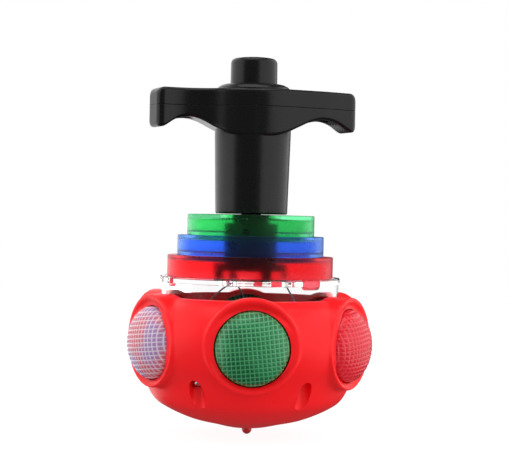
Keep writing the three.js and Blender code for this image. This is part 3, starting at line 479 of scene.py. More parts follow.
SLOT_FINISH: dict[str, Finish] = {
    "red_plastic": RED,
    "dark_red_plastic": DARK_RED,
    "black_plastic": INNER_BLACK,
    "clear_plastic": CLEAR,
    "red_translucent": TIER_RED,
    "green_translucent": TIER_GREEN,
    "blue_translucent": TIER_BLUE,
    "led_clear": LED_EPOXY,
    "board": BOARD,
    "steel": STEEL,
    "spring_metal": SPRING,
    "copper": LEAD,
}


# ---------------------------------------------------------------- mesh tools


def filleted(corners: Sequence[Corner], closed: bool = True, steps: int = 5) -> list[Pair]:
    """Round the corners of an outline.

    Args:
        corners: radius, height and fillet radius of each corner, in mm.
        closed: whether the last corner joins the first.
        steps: straight pieces in each rounded corner.

    Returns:
        The outline's points.
    """
    points: list[Pair] = []
    count = len(corners)
    for i, (x, y, radius) in enumerate(corners):
        at_end = not closed and i in (0, count - 1)
        here = Vector((x, y))
        before = Vector(corners[i - 1][:2]) - here
        after = Vector(corners[(i + 1) % count][:2]) - here
        if at_end or radius <= 0 or not before.length or not after.length:
            points.append((x, y))
            continue
        reach = min(radius, 0.48 * before.length, 0.48 * after.length)
        start = here + before.normalized() * reach
        end = here + after.normalized() * reach
        for step in range(steps + 1):
            t = step / steps
            bend = start * (1 - t) ** 2 + here * (2 * t * (1 - t)) + end * t**2
            points.append((bend.x, bend.y))
    return points


def mesh_object(name: str, points: Sequence[Point], faces: Sequence[Sequence[int]]) -> Piece:
    """Make a mesh object from points in mm.

    Args:
        name: the object's name.
        points: the vertices, in mm.
        faces: vertex numbers of each face.

    Returns:
        The object, linked to the scene.
    """
    mesh = bpy.data.meshes.new(name)
    mesh.from_pydata([(x * MM, y * MM, z * MM) for x, y, z in points], [], faces)
    mesh.validate()
    made = bpy.data.objects.new(name, mesh)
    bpy.context.scene.collection.objects.link(made)
    return made


def revolved(name: str, outline: Sequence[Pair], segments: int = 160) -> Piece:
    """Turn an outline of radius and height about the Z axis.

    An outline whose two ends lie on the axis is closed there. Any other is a ring.

    Args:
        name: the object's name.
        outline: radius and height pairs, in mm.
        segments: facets in a full turn.

    Returns:
        The solid.
    """
    on_axis = [r < 1e-6 for r, _ in outline]
    points: list[Point] = []
    rows: list[list[int]] = []
    for (r, z), single in zip(outline, on_axis):
        count = 1 if single else segments
        rows.append(list(range(len(points), len(points) + count)))
        for k in range(count):
            angle = math.tau * k / segments
            points.append((r * math.sin(angle), -r * math.cos(angle), z))
    ring = not (on_axis[0] and on_axis[-1])
    pairs = list(zip(rows, rows[1:] + rows[:1])) if ring else list(zip(rows, rows[1:]))
    faces: list[tuple[int, ...]] = []
    for low, high in pairs:
        if len(low) == 1 and len(high) == 1:
            continue
        for k in range(segments):
            n = (k + 1) % segments
            quad = [low[k % len(low)], low[n % len(low)], high[n % len(high)], high[k % len(high)]]
            face = tuple(dict.fromkeys(quad))
            if len(face) > 2:
                faces.append(face)
    made = mesh_object(name, points, faces)
    return outward(made)


def outward(made: Piece) -> Piece:
    """Turn a closed mesh's faces to point out.

    Args:
        made: the object.

    Returns:
        The same object.
    """
    mesh = made.data
    mesh.calc_loop_triangles()
    volume = 0.0
    for tri in mesh.loop_triangles:
        a, b, c = (mesh.vertices[i].co for i in tri.vertices)
        volume += a.dot(b.cross(c))
    if volume < 0:
        mesh.flip_normals()
    return made


def cylinder(name: str, radius: float, low: float, high: float, segments: int = 96) -> Piece:
    """Make an upright round solid, for use as a cutter.

    Args:
        name: the object's name.
        radius: in mm.
        low: height of its foot, in mm.
        high: height of its top, in mm.
        segments: facets in a full turn.

    Returns:
        The solid.
    """
    return revolved(name, [(0, low), (radius, low), (radius, high), (0, high)], segments)


def block(name: str, low: Point, high: Point) -> Piece:
    """Make a box, for use as a cutter.

    Args:
        name: the object's name.
        low: its lowest corner, in mm.
        high: its highest corner, in mm.

    Returns:
        The box.
    """
    points = [(x, y, z) for x in (low[0], high[0]) for y in (low[1], high[1]) for z in (low[2], high[2])]
    faces = [(0, 1, 3, 2), (4, 6, 7, 5), (0, 4, 5, 1), (2, 3, 7, 6), (0, 2, 6, 4), (1, 5, 7, 3)]
    return outward(mesh_object(name, points, faces))


def moved(made: Piece, matrix: Matrix) -> Piece:
    """Move a mesh's own points.

    Args:
        made: the object.
        matrix: the move, in metres.

    Returns:
        The same object.
    """
    made.data.transform(matrix)
    return made


def around(made: Piece, angle: float) -> Piece:
    """Turn a mesh about the Z axis, from -Y towards +X."""
    return moved(made, Matrix.Rotation(angle, 4, "Z"))


def out_along(made: Piece, height: float) -> Piece:
    """Lay a piece built along +Z down to point along -Y at a height in mm."""
    return moved(made, Matrix.Translation((0, 0, height * MM)) @ Matrix.Rotation(math.pi / 2, 4, "X"))


def settle(made: Piece) -> Piece:
    """Make an object's modifiers part of its mesh.

    Args:
        made: the object.

    Returns:
        The same object, with no modifiers.
    """
    graph = bpy.context.evaluated_depsgraph_get()
    mesh = bpy.data.meshes.new_from_object(made.evaluated_get(graph))
    made.modifiers.clear()
    made.data = mesh
    return made


def combine(made: Piece, others: Iterable[Piece], cut: Cut) -> Piece:
    """Join, remove or keep other solids, which are used up.

    Args:
        made: the solid that changes.
        others: the solids to join or cut with.
        cut: what to do with them.

    Returns:
        The changed solid.
    """
    spent = list(others)
    for other in spent:
        step = made.modifiers.new("cut", "BOOLEAN")
        step.solver = "MANIFOLD"
        step.operation = cut.value
        step.object = other
    settle(made)
    for other in spent:
        bpy.data.objects.remove(other, do_unlink=True)
    return made


def smooth(made: Piece, degrees: float = 32.0) -> Piece:
    """Shade a mesh smooth, with creases kept sharp and large faces kept flat.

    Args:
        made: the object.
        degrees: the least angle of a crease.

    Returns:
        The same object.
    """
    made.data.shade_smooth()
    made.data.set_sharp_from_angle(angle=math.radians(degrees))
    made.modifiers.new("even_normals", "WEIGHTED_NORMAL").keep_sharp = True
    return made


def rounded_skin(made: Piece, voxel: float, passes: int) -> Piece:
    """Give joined solids one skin with soft fillets where they meet.

    Args:
        made: the object.
        voxel: the skin's grid, in mm.
        passes: how often the skin is relaxed.

    Returns:
        The same object.
    """
    grid = made.modifiers.new("skin", "REMESH")
    grid.mode = "VOXEL"
    grid.voxel_size = voxel * MM
    relax = made.modifiers.new("relax", "CORRECTIVE_SMOOTH")
    relax.use_only_smooth = True
    relax.iterations = passes
    relax.factor = 0.5
    return settle(made)


def dress(made: Piece, finish: Finish) -> Piece:
    """Give an object one finish.

    Args:
        made: the object.
        finish: its finish.

    Returns:
        The same object.
    """
    made.data.materials.clear()
    made.data.materials.append(finish.material())
    return made


def hold(made: Piece, body: Body, slot: str, *nodes: str) -> Piece:
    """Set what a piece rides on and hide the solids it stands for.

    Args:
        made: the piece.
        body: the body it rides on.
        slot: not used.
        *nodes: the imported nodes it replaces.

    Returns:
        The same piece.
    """
    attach(made, body.value)
    if nodes:
        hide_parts(*nodes)
    LOG.info("%s: %d faces, rides on %s", made.name, len(made.data.polygons), body.value)
    return made


def box_mm(node: str) -> tuple[Vector, Vector]:
    """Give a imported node's lowest and highest corners, in mm."""
    low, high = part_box(node)
    return Vector(low) / MM, Vector(high) / MM


def along_keys(keys: Sequence[Sequence[float]], at: float) -> list[float]:
    """Read a smooth curve through rows of values.

    Args:
        keys: rows whose first value is the place and whose others are the values there.
        at: the place to read.

    Returns:
        The values at that place, on Catmull-Rom curves through the rows.
    """
    at = min(max(at, keys[0][0]), keys[-1][0])
    i = max(k for k in range(len(keys) - 1) if keys[k][0] <= at)
    low, high = keys[i], keys[i + 1]
    span = high[0] - low[0]
    t = (at - low[0]) / span
    values: list[float] = []
    for c in range(1, len(low)):
        before = keys[max(i - 1, 0)]
        after = keys[min(i + 2, len(keys) - 1)]
        slope_low = (high[c] - before[c]) / (high[0] - before[0]) * span
        slope_high = (after[c] - low[c]) / (after[0] - low[0]) * span
        h = (2 * t**3 - 3 * t**2 + 1, t**3 - 2 * t**2 + t, -2 * t**3 + 3 * t**2, t**3 - t**2)
        values.append(h[0] * low[c] + h[1] * slope_low + h[2] * high[c] + h[3] * slope_high)
    return values


# ---------------------------------------------------------------- bowl


@dataclass
class Bowl:
    """The red bowl with its lens barrels and screw pockets.

    Attributes:
        barrels: number of lens barrels.
        outline: radius and height along the outside, as shares of the widest radius and the depth.
        wall: thickness of the side, in mm.
        floor: height of the outside's lowest point, in mm.
        barrel_radius: in mm.
        barrel_height: height of the lens openings' axes, in mm.
        barrel_rise: how far the barrels' own axes lie above those, in mm.
        crest: radius of the ring round a lens, in mm.
        opening: radius of a lens opening, in mm.
        dish: how far the ring slopes in, in mm.
        pocket_radius: in mm.
        pocket_ring: distance of the pockets from the axis, in mm.
        pocket_roof: height of the pockets' roofs, in mm.
        screw_ring: distance of the body screws from the axis, in mm.
        head_room: lowest and highest point of the room for a screw head, in mm.
        head_clear: radius of that room, in mm.
        lip: width of the rim, in mm.
        seat_depth: from a barrel's face to the seat of its lens's flange, in mm.
        seat_ledge: how far that seat is wider than the opening, in mm.
        room_below: height of the rim above the top of the space inside, in mm.
        flat_wall: thickness behind the barrels' faces, in mm.
        well_depth: depth of the well that takes the cover, in mm.
        cup_wall: thickness round a pocket, in mm.
        cup_roof: thickness over a pocket, in mm.
        post_radius: in mm.
        rim: height of the rim, in mm.
        widest: the widest radius, in mm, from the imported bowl.
        face: distance of the barrels' faces from the axis, in mm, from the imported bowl.
    """

    barrels: int = 6
    outline: tuple[Pair, ...] = (
        (0.0, 0.0), (0.15, 0.011), (0.3, 0.043), (0.49, 0.087), (0.68, 0.165), (0.785, 0.24),
        (0.87, 0.39), (0.96, 0.53), (1.0, 0.69), (0.97, 0.84), (0.9, 0.94), (0.801, 1.0),
    )
    wall: float = 1.5
    floor: float = 1.9
    barrel_radius: float = 13.5
    barrel_height: float = 28.2
    barrel_rise: float = 0.6
    crest: float = 12.6
    opening: float = 10.8
    dish: float = 1.2
    pocket_radius: float = 2.35
    pocket_ring: float = 29.9
    pocket_roof: float = 19.4
    screw_ring: float = 28.3
    head_room: Pair = (16.4, 18.5)
    head_clear: float = 2.5
    lip: float = 2.1
    seat_depth: float = 2.6
    seat_ledge: float = 1.8
    room_below: float = 3.3
    flat_wall: float = 3.9
    well_depth: float = 4.2
    cup_wall: float = 1.3
    cup_roof: float = 1.5
    post_radius: float = 2.0
    widest: float = field(init=False)
    face: float = field(init=False)
    rim: float = 41.2

    def __post_init__(self) -> None:
        """Take the widest radius and the barrels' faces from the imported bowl."""
        _, high = box_mm("bowl")
        self.widest = high.x
        self.face = high.y

    @property
    def rim_radius(self) -> float:
        """The rim's outer radius, in mm."""
        return self.widest * self.outline[-1][0]

    def side(self, wall: float, samples: int = 90) -> list[Pair]:
        """Trace the outside, moved in by a wall.

        Args:
            wall: how far the line lies inside, in mm.
            samples: points along the line.

        Returns:
            Radius and height pairs, from the axis to the rim.
        """
        keys = [(i, r, z) for i, (r, z) in enumerate(self.outline)]
        line: list[Pair] = []
        for k in range(samples + 1):
            r, z = along_keys(keys, (len(keys) - 1) * k / samples)
            side = min(1.0, 1.6 * r)
            up = wall * (1 - z) * (1 - 0.5 * side)
            height = self.floor + z * (self.rim - self.floor) + up
            line.append((max(0.0, r * self.widest - wall * side), height))
        line[0] = (0.0, line[0][1])
        return line

    def flats(self, name: str, apothem: float, high: float) -> Piece:
        """Make a prism whose flats face the lenses.

        Args:
            name: the object's name.
            apothem: distance of the flats from the axis, in mm.
            high: height of its top, in mm.

        Returns:
            The prism.
        """
        corner = apothem / math.cos(math.pi / self.barrels)
        return around(cylinder(name, corner, -1.0, high, self.barrels), math.pi / self.barrels)

    def barrel(self, index: int) -> Piece:
        """Make one lens barrel.

        Args:
            index: which barrel, counted from the one that faces -Y.

        Returns:
            The solid, in place.
        """
        edge = self.barrel_radius - self.crest
        outline = filleted(
            [
                (0, self.widest / 2, 0),
                (self.barrel_radius, self.widest / 2, 0),
                (self.barrel_radius, self.face, edge),
                (self.crest, self.face, 0.7),
                (self.opening, self.face - self.dish, 0.5),
                (0, self.face - self.dish, 0),
            ],
            closed=False,
            steps=8,
        )
        made = revolved(f"barrel_{index}", outline, 144)
        height = self.barrel_height + self.barrel_rise
        return around(out_along(made, height), math.tau * index / self.barrels)

    def outside(self) -> Piece:
        """Make the bowl's outer form with soft fillets round the barrels."""
        body = revolved("bowl", [*self.side(0.0), (0.0, self.rim)], 288)
        combine(body, [self.flats("bowl_flats", self.face, 60.0)], Cut.KEEP)
        combine(body, [self.barrel(i) for i in range(self.barrels)], Cut.JOIN)
        return rounded_skin(body, 0.33, 6)

    def bores(self) -> list[Piece]:
        """Make the cutters for the lens openings and the room behind them."""
        cutters: list[Piece] = []
        for i in range(self.barrels):
            seat = self.face - self.seat_depth
            behind = self.opening + self.seat_ledge
            outline = [
                (0, self.widest / 2 + 2),
                (behind, self.widest / 2 + 2),
                (behind, seat),
                (self.opening, seat),
                (self.opening, self.face + 3),
                (0, self.face + 3),
            ]
            cutter = out_along(revolved(f"bore_{i}", outline, 128), self.barrel_height)
            cutters.append(around(cutter, math.tau * i / self.barrels))
        return cutters

    def hollow(self) -> Piece:
        """Make the space inside the bowl."""
        top = self.rim - self.room_below
        line = [(r, z) for r, z in self.side(self.wall) if z < top]
        room = revolved("bowl_room", [*line, (line[-1][0], top), (0, top)], 192)
        return combine(room, [self.flats("room_flats", self.face - self.flat_wall, 60.0)], Cut.KEEP)

    def pocket_angles(self) -> list[float]:
        """Give the angle of each screw pocket, between the barrels."""
        return [math.tau * (i + 0.5) / self.barrels for i in range(self.barrels)]

    def at_pocket(self, made: Piece, angle: float, radius: float | None = None) -> Piece:
        """Move a piece from the axis out to a pocket."""
        reach = self.pocket_ring if radius is None else radius
        moved(made, Matrix.Translation((0, -reach * MM, 0)))
        return around(made, angle)

    def pocket_walls(self) -> list[Piece]:
        """Make the cups round the pockets and the posts under the board."""
        board = box_mm("circuit_board")[0].z - 0.1
        walls: list[Piece] = []
        for i, angle in enumerate(self.pocket_angles()):
            radius, roof = self.pocket_radius + self.cup_wall, self.pocket_roof + self.cup_roof
            cup = cylinder(f"cup_{i}", radius, self.floor, roof, 64)
            walls.append(self.at_pocket(cup, angle))
            if i % 2 == 0:
                post = cylinder(f"post_{i}", self.post_radius, self.pocket_roof, board, 40)
                walls.append(self.at_pocket(post, angle, self.screw_ring - self.post_radius))
        return walls

    def build(self) -> Piece:
        """Build the bowl.

        Returns:
            The bowl, dressed and riding on the spinner.
        """
        outer = self.outside()
        limit = outer.copy()
        limit.data = outer.data.copy()
        bpy.context.scene.collection.objects.link(limit)
        well = cylinder("cover_well", self.rim_radius - self.lip, self.rim - self.well_depth, 60.0, 192)
        shell = combine(outer, [*self.bores(), self.hollow(), well], Cut.REMOVE)
        walls = self.pocket_walls()
        cups = combine(walls[0], walls[1:], Cut.JOIN)
        cups = combine(cups, [limit], Cut.KEEP)
        shell = combine(shell, [cups], Cut.JOIN)
        pockets: list[Piece] = []
        for i, angle in enumerate(self.pocket_angles()):
            pocket = cylinder(f"pocket_{i}", self.pocket_radius, -1.0, self.pocket_roof, 64)
            pockets.append(self.at_pocket(pocket, angle))
            if i % 2:
                room = cylinder(f"head_room_{i}", self.head_clear, *self.head_room, 64)
                hole = cylinder(f"hole_{i}", 1.15, self.head_room[1] - 0.5, self.pocket_roof + 3.0, 32)
                pockets += [self.at_pocket(made, angle, self.screw_ring) for made in (room, hole)]
        pockets.append(cylinder("tip_hole", 1.35, -1.0, self.floor + 4.0, 48))
        shell = combine(shell, pockets, Cut.REMOVE)
        shell.name = "bowl_shell"
        return hold(dress(smooth(shell, 38.0), RED), Body.SPINNER, "red_plastic", "bowl")


@dataclass
class Tip:
    """The hard nub that the top spins on.

    Attributes:
        radius: in mm.
        shank: radius of the part inside the bowl, in mm.
        flat: radius of the worn flat at its end, in mm.
        floor: height of the bowl's lowest point, in mm.
    """

    radius: float = 1.5
    shank: float = 1.1
    flat: float = 0.4
    floor: float = 1.9

    def build(self) -> Piece:
        """Build the tip.

        Returns:
            The tip, dressed and riding on the spinner.
        """
        low, high = box_mm("tip")
        nose = [(self.flat, low.z)]
        for k in range(1, 9):
            angle = math.radians(20 + 70 * k / 8)
            nose.append((self.radius * math.sin(angle), low.z + self.radius * (1 - math.cos(angle))))
        neck = [(self.radius, self.floor - 0.1), (self.shank, self.floor), (self.shank, high.z)]
        made = revolved("spin_tip", [(0, low.z), *nose, *neck, (0, high.z)], 64)
        return hold(dress(smooth(made), DARK_RED), Body.SPINNER, "dark_red_plastic", "tip")


# ---------------------------------------------------------------- lenses


@dataclass
class PrismLenses:
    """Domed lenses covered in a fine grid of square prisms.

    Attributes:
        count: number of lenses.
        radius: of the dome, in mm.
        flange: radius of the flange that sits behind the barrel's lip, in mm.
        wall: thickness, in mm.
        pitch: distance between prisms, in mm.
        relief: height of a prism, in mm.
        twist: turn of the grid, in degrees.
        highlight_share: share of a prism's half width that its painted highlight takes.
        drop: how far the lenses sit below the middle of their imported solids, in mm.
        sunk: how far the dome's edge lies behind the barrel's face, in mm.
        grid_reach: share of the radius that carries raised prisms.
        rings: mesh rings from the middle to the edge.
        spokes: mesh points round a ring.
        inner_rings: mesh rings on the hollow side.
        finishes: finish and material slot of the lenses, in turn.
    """

    count: int = 6
    radius: float = 10.55
    flange: float = 12.3
    wall: float = 1.6
    pitch: float = 1.25
    relief: float = 0.2
    twist: float = 6.0
    highlight_share: float = 0.34
    drop: float = 0.2
    sunk: float = 1.2
    grid_reach: float = 0.955
    rings: int = 84
    spokes: int = 400
    inner_rings: int = 24
    finishes: tuple[tuple[Finish, str], ...] = (
        (LENS_GREEN, "green_translucent"),
        (LENS_RED, "red_translucent"),
        (LENS_CLEAR, "clear_plastic"),
    )

    def prism(self, x: float, y: float) -> float:
        """Give the height of the prism grid.

        Args:
            x: place across the lens, in mm.
            y: place up the lens, in mm.

        Returns:
            The height, in mm: pyramids with flat sides and narrow valleys.
        """
        return self.relief * min(1.0, 1.5 * (1 - self.border(x, y)))

    def border(self, x: float, y: float) -> float:
        """Give how near a place is to the border of its prism.

        Args:
            x: place across the lens, in mm.
            y: place up the lens, in mm.

        Returns:
            0 at the prism's middle, and 1 on its border.
        """
        turn = math.radians(self.twist)
        u = (x * math.cos(turn) + y * math.sin(turn)) / self.pitch
        v = (y * math.cos(turn) - x * math.sin(turn)) / self.pitch
        return max(abs(2 * (u % 1) - 1), abs(2 * (v % 1) - 1))

    def build(self) -> list[Piece]:
        """Build all lenses.

        Returns:
            The lenses, dressed and riding on the spinner.
        """
        low, high = box_mm("lens_1")
        tip, back = -low.y, -high.y
        face = box_mm("bowl")[1].y - self.sunk
        pattern = smooth(self.dome("prism_lens", tip, back, face), 50.0)
        out_along(pattern, (low.z + high.z) / 2 - self.drop)
        made: list[Piece] = []
        for i in range(self.count):
            lens = bpy.data.objects.new(f"prism_lens_{i + 1}", pattern.data.copy())
            bpy.context.scene.collection.objects.link(lens)
            around(lens, math.tau * i / self.count)
            finish, slot = self.finishes[i % len(self.finishes)]
            made.append(hold(dress(lens, finish), Body.SPINNER, slot, f"lens_{i + 1}"))
        bpy.data.objects.remove(pattern, do_unlink=True)
        return made

    def dome(self, name: str, tip: float, back: float, face: float) -> Piece:
        """Make one lens along +Z, as one closed skin.

        Args:
            name: the object's name.
            tip: distance of the dome's crown from the top's axis, in mm.
            back: distance of the flange's back, in mm.
            face: distance of the dome's edge, in mm.

        Returns:
            The lens.
        """
        rows: list[tuple[float, float, bool]] = [(0.0, tip, True)]
        for k in range(1, self.rings + 1):
            share = k / self.rings
            rise = (tip - face) * math.sqrt(max(0.0, 1 - share**2))
            rows.append((self.radius * share, face + rise, share < self.grid_reach))
        seat = back + self.wall
        rows += [(self.radius, seat, False), (self.flange, seat, False), (self.flange, back, False)]
        inner = self.radius - self.wall
        rows.append((inner, back, False))
        for k in range(self.inner_rings):
            share = math.cos(math.pi / 2 * k / self.inner_rings)
            rise = (tip - face - self.wall) * math.sqrt(max(0.0, 1 - share**2))
            rows.append((inner * share, face + rise, False))
        rows.append((0.0, tip - self.wall, False))
        return self.skin(name, rows)

    def skin(self, name: str, rows: Sequence[tuple[float, float, bool]]) -> Piece:
        """Turn rows into a skin, with the prism grid on the marked ones.

        Args:
            name: the object's name.
            rows: radius, height and whether the row carries prisms.

        Returns:
            The lens.
        """
        points: list[Point] = []
        starts: list[int] = []
        highlight_weights: list[float] = []
        for r, z, ribbed in rows:
            starts.append(len(points))
            if r == 0:
                points.append((0.0, 0.0, z))
                highlight_weights.append(0.0)
                continue
            for k in range(self.spokes):
                angle = math.tau * k / self.spokes
                x, y = r * math.cos(angle), r * math.sin(angle)
                lift = self.prism(x, y) - self.relief if ribbed else 0.0
                points.append((x, y, z + lift))
                # Painted highlight: its strength rises towards each prism's border and is stored in the
                # "line" attribute.
                near = (self.border(x, y) - 1 + self.highlight_share) / self.highlight_share
                highlight_weights.append(max(0.0, near))
        faces: list[tuple[int, ...]] = []
        for (low, a), (high, b) in zip(zip(starts, rows), zip(starts[1:], rows[1:])):
            for k in range(self.spokes):
                n = (k + 1) % self.spokes
                if a[0] == 0:
                    faces.append((low, high + k, high + n))
                elif b[0] == 0:
                    faces.append((low + k, high, low + n))
                else:
                    faces.append((low + k, high + k, high + n, low + n))
        made = outward(mesh_object(name, points, faces))
        # The "line" attribute holds the painted highlight's strength at each point.
        made.data.attributes.new("line", "FLOAT", "POINT").data.foreach_set("value", highlight_weights)
        return made


# ---------------------------------------------------------------- cover and tiers


@dataclass
class ClearCover:
    """The clear cover between the bowl and the tiers.

    Attributes:
        wall: thickness, in mm.
        deck: thickness of the deck that the tiers stand on, in mm.
        drop: deck below the top of the rim, in mm.
        skirt: height of the skirt's lower edge, in mm.
        bead: how far the rim's bead stands out, in mm.
        hole: radius of the hole in the deck, in mm.
    """

    wall: float = 1.3
    deck: float = 1.2
    drop: float = 0.7
    skirt: float = 34.0
    bead: float = 0.3
    hole: float = 5.6

    def build(self) -> Piece:
        """Build the cover.

        Returns:
            The cover, dressed and riding on the spinner.
        """
        low, high = box_mm("clear_cover")
        rim, top = -low.y, high.z
        side = rim - self.bead
        inner = side - self.wall
        floor = top - self.drop
        under = floor - self.deck
        outline = filleted(
            [
                (inner, self.skirt, 0.2), (side, self.skirt, 0.2), (side, under, 0.15),
                (rim, under, 0.25), (rim, top, 0.3), (inner, top, 0.25), (inner, floor, 0.3),
                (self.hole, floor, 0.2), (self.hole, under, 0.2), (inner, under, 0.3),
            ],
            steps=3,
        )
        shell = revolved("cover_shell", outline, 192)
        combine(shell, [self.slot(angle, floor) for angle in tab_angles()], Cut.REMOVE)
        combine(shell, [self.led_hole(i, floor) for i in range(3)], Cut.REMOVE)
        shell.name = "clear_cover_shell"
        return hold(dress(smooth(shell, 40.0), CLEAR), Body.SPINNER, "clear_plastic", "clear_cover")

    def slot(self, angle: float, floor: float) -> Piece:
        """Make the cutter for one tab's slot in the deck."""
        reach = box_mm("red_tier")[1].y
        made = block("tab_slot", (-3.6, -reach - 0.3, floor - 3.0), (3.6, -reach + 1.8, floor + 3.0))
        return around(made, angle)

    def led_hole(self, index: int, floor: float) -> Piece:
        """Make the cutter for one tier LED's hole in the deck."""
        low, high = box_mm(f"tier_led_{index + 1}")
        made = cylinder("led_hole", 2.05, floor - 3.0, floor + 3.0, 40)
        middle = (low + high) / 2
        return moved(made, Matrix.Translation((middle.x * MM, middle.y * MM, 0)))


def tab_angles() -> list[float]:
    """Give the angles of the three tabs, from -Y towards +X."""
    return [math.radians(45) + math.tau * i / 3 for i in range(3)]


@dataclass
class LightTiers:
    """Three stacked see-through tiers.

    Attributes:
        wall: thickness, in mm.
        roof: thickness of the top plate, in mm.
        edge: rounding of the outer edges, in mm.
        raised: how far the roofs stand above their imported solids, in mm.
        tab_width: in mm.
        tab_thickness: in mm.
        tab_drop: how far the tabs hang below the red tier's wall, in mm.
        tab_height: of a tab, in mm, with what is inside the wall.
        tab_round: rounding of its lower corners, in mm.
        finishes: node, finish and material slot of each tier, from the lowest.
    """

    wall: float = 1.4
    roof: float = 1.2
    edge: float = 0.35
    raised: float = 0.2
    tab_width: float = 6.6
    tab_thickness: float = 1.2
    tab_drop: float = 2.7
    tab_height: float = 3.4
    tab_round: float = 2.2
    finishes: tuple[tuple[str, Finish, str], ...] = (
        ("red_tier", TIER_RED, "red_translucent"),
        ("blue_tier", TIER_BLUE, "blue_translucent"),
        ("green_tier", TIER_GREEN, "green_translucent"),
    )

    def build(self) -> list[Piece]:
        """Build the three tiers.

        Returns:
            The tiers, dressed and riding on the spinner.
        """
        made: list[Piece] = []
        for i, (node, finish, slot) in enumerate(self.finishes):
            low, high = box_mm(node)
            above = box_mm(self.finishes[i + 1][0])[1].y if i < 2 else None
            opening = above - self.wall - 0.25 if above else 7.5
            foot = low.z + (0.0 if i == 0 else 1.0)
            shell = self.ring(node, high.y, low.z, foot, high.z + self.raised, opening, i == 0)
            made.append(hold(dress(smooth(shell, 36.0), finish), Body.SPINNER, slot, node))
        return made

    def ring(
        self, node: str, radius: float, low: float, foot: float, top: float, opening: float, tabbed: bool
    ) -> Piece:
        """Make one tier.

        Args:
            node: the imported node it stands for.
            radius: outer radius, in mm.
            low: height of its lowest point, in mm.
            foot: height of its outer wall's foot, in mm.
            top: height of its roof, in mm.
            opening: radius of the opening in its roof, in mm.
            tabbed: whether it has tabs in place of a spigot.

        Returns:
            The tier.
        """
        inner = radius - self.wall
        hem = low + self.tab_drop
        roof = [
            (radius, hem if tabbed else foot, self.edge), (radius, top, self.edge),
            (opening, top, 0.25), (opening, top - self.roof, 0.25), (inner, top - self.roof, 0.5),
        ]
        if tabbed:
            corners = [(inner, hem, 0.3), *roof]
        else:
            spigot = inner - 0.5
            neck = spigot - self.wall
            corners = [
                (neck, foot + self.roof, 0.3), (neck, low, 0.2), (spigot, low, 0.2), (spigot, foot, 0.1),
                *roof, (inner, foot + self.roof, 0.3),
            ]
        shell = revolved(f"{node}_shell", filleted(corners, steps=4), 192)
        if tabbed:
            combine(shell, [self.tab(angle, radius, low) for angle in tab_angles()], Cut.JOIN)
        shell.name = f"{node}_shell"
        return shell

    def tab(self, angle: float, radius: float, low: float) -> Piece:
        """Make one hanging tab with round lower corners.

        Args:
            angle: its angle, from -Y towards +X.
            radius: the tier's outer radius, in mm.
            low: height of the tab's lower edge, in mm.

        Returns:
            The tab.
        """
        half, top, turn = self.tab_width / 2, low + self.tab_height, self.tab_round
        corners = [(-half, top, 0), (-half, low, turn), (half, low, turn), (half, top, 0)]
        outline = filleted(corners, closed=False, steps=8)
        count = len(outline)
        front, back = -(radius - 0.3), -(radius - 0.3) + self.tab_thickness
        points = [(x, front, z) for x, z in outline] + [(x, back, z) for x, z in outline]
        faces: list[tuple[int, ...]] = [tuple(range(count)), tuple(reversed(range(count, 2 * count)))]
        for k in range(count):
            n = (k + 1) % count
            faces.append((k, k + count, n + count, n))
        return around(outward(mesh_object("tab", points, faces)), angle)


@dataclass
class DriveSocket:
    """The flanged cup inside the tiers that takes the launcher's dog.

    Attributes:
        bore: radius, in mm.
        outer: radius of the cup, in mm.
        flange: thickness of the flange, in mm.
        slot_width: in mm.
        slot_reach: in mm.
    """

    bore: float = 6.0
    outer: float = 8.0
    flange: float = 2.2
    slot_width: float = 2.6
    slot_reach: float = 7.2

    def build(self) -> Piece:
        """Build the socket.

        Returns:
            The socket, dressed and riding on the spinner.
        """
        low, high = box_mm("drive_socket")
        under = low.z + 2.3
        floor = under + self.flange
        outline = filleted(
            [
                (0, under, 0), (high.y, under, 0.3), (high.y, floor, 0.3), (self.outer, floor, 0.6),
                (self.outer, high.z, 0.3), (self.bore, high.z, 0.5), (self.bore, floor, 0.4), (0, floor, 0),
            ],
            closed=False,
            steps=3,
        )
        cup = revolved("socket_cup", outline, 128)
        feet: list[Piece] = []
        for i in range(3):
            foot = cylinder(f"foot_{i}", 1.4, low.z, under + 0.5, 32)
            moved(foot, Matrix.Translation((0, -(high.y - 1.6) * MM, 0)))
            feet.append(around(foot, math.radians(-30) + math.pi / 3 + math.tau * i / 3))
        combine(cup, feet, Cut.JOIN)
        half = self.slot_width / 2
        slot = block("lug_slot", (-self.slot_reach, -half, floor), (self.slot_reach, half, high.z + 1))
        combine(cup, [slot], Cut.REMOVE)
        cup.name = "socket_cup"
        return hold(dress(smooth(cup), INNER_BLACK), Body.SPINNER, "black_plastic", "drive_socket")


# ---------------------------------------------------------------- leads and small parts


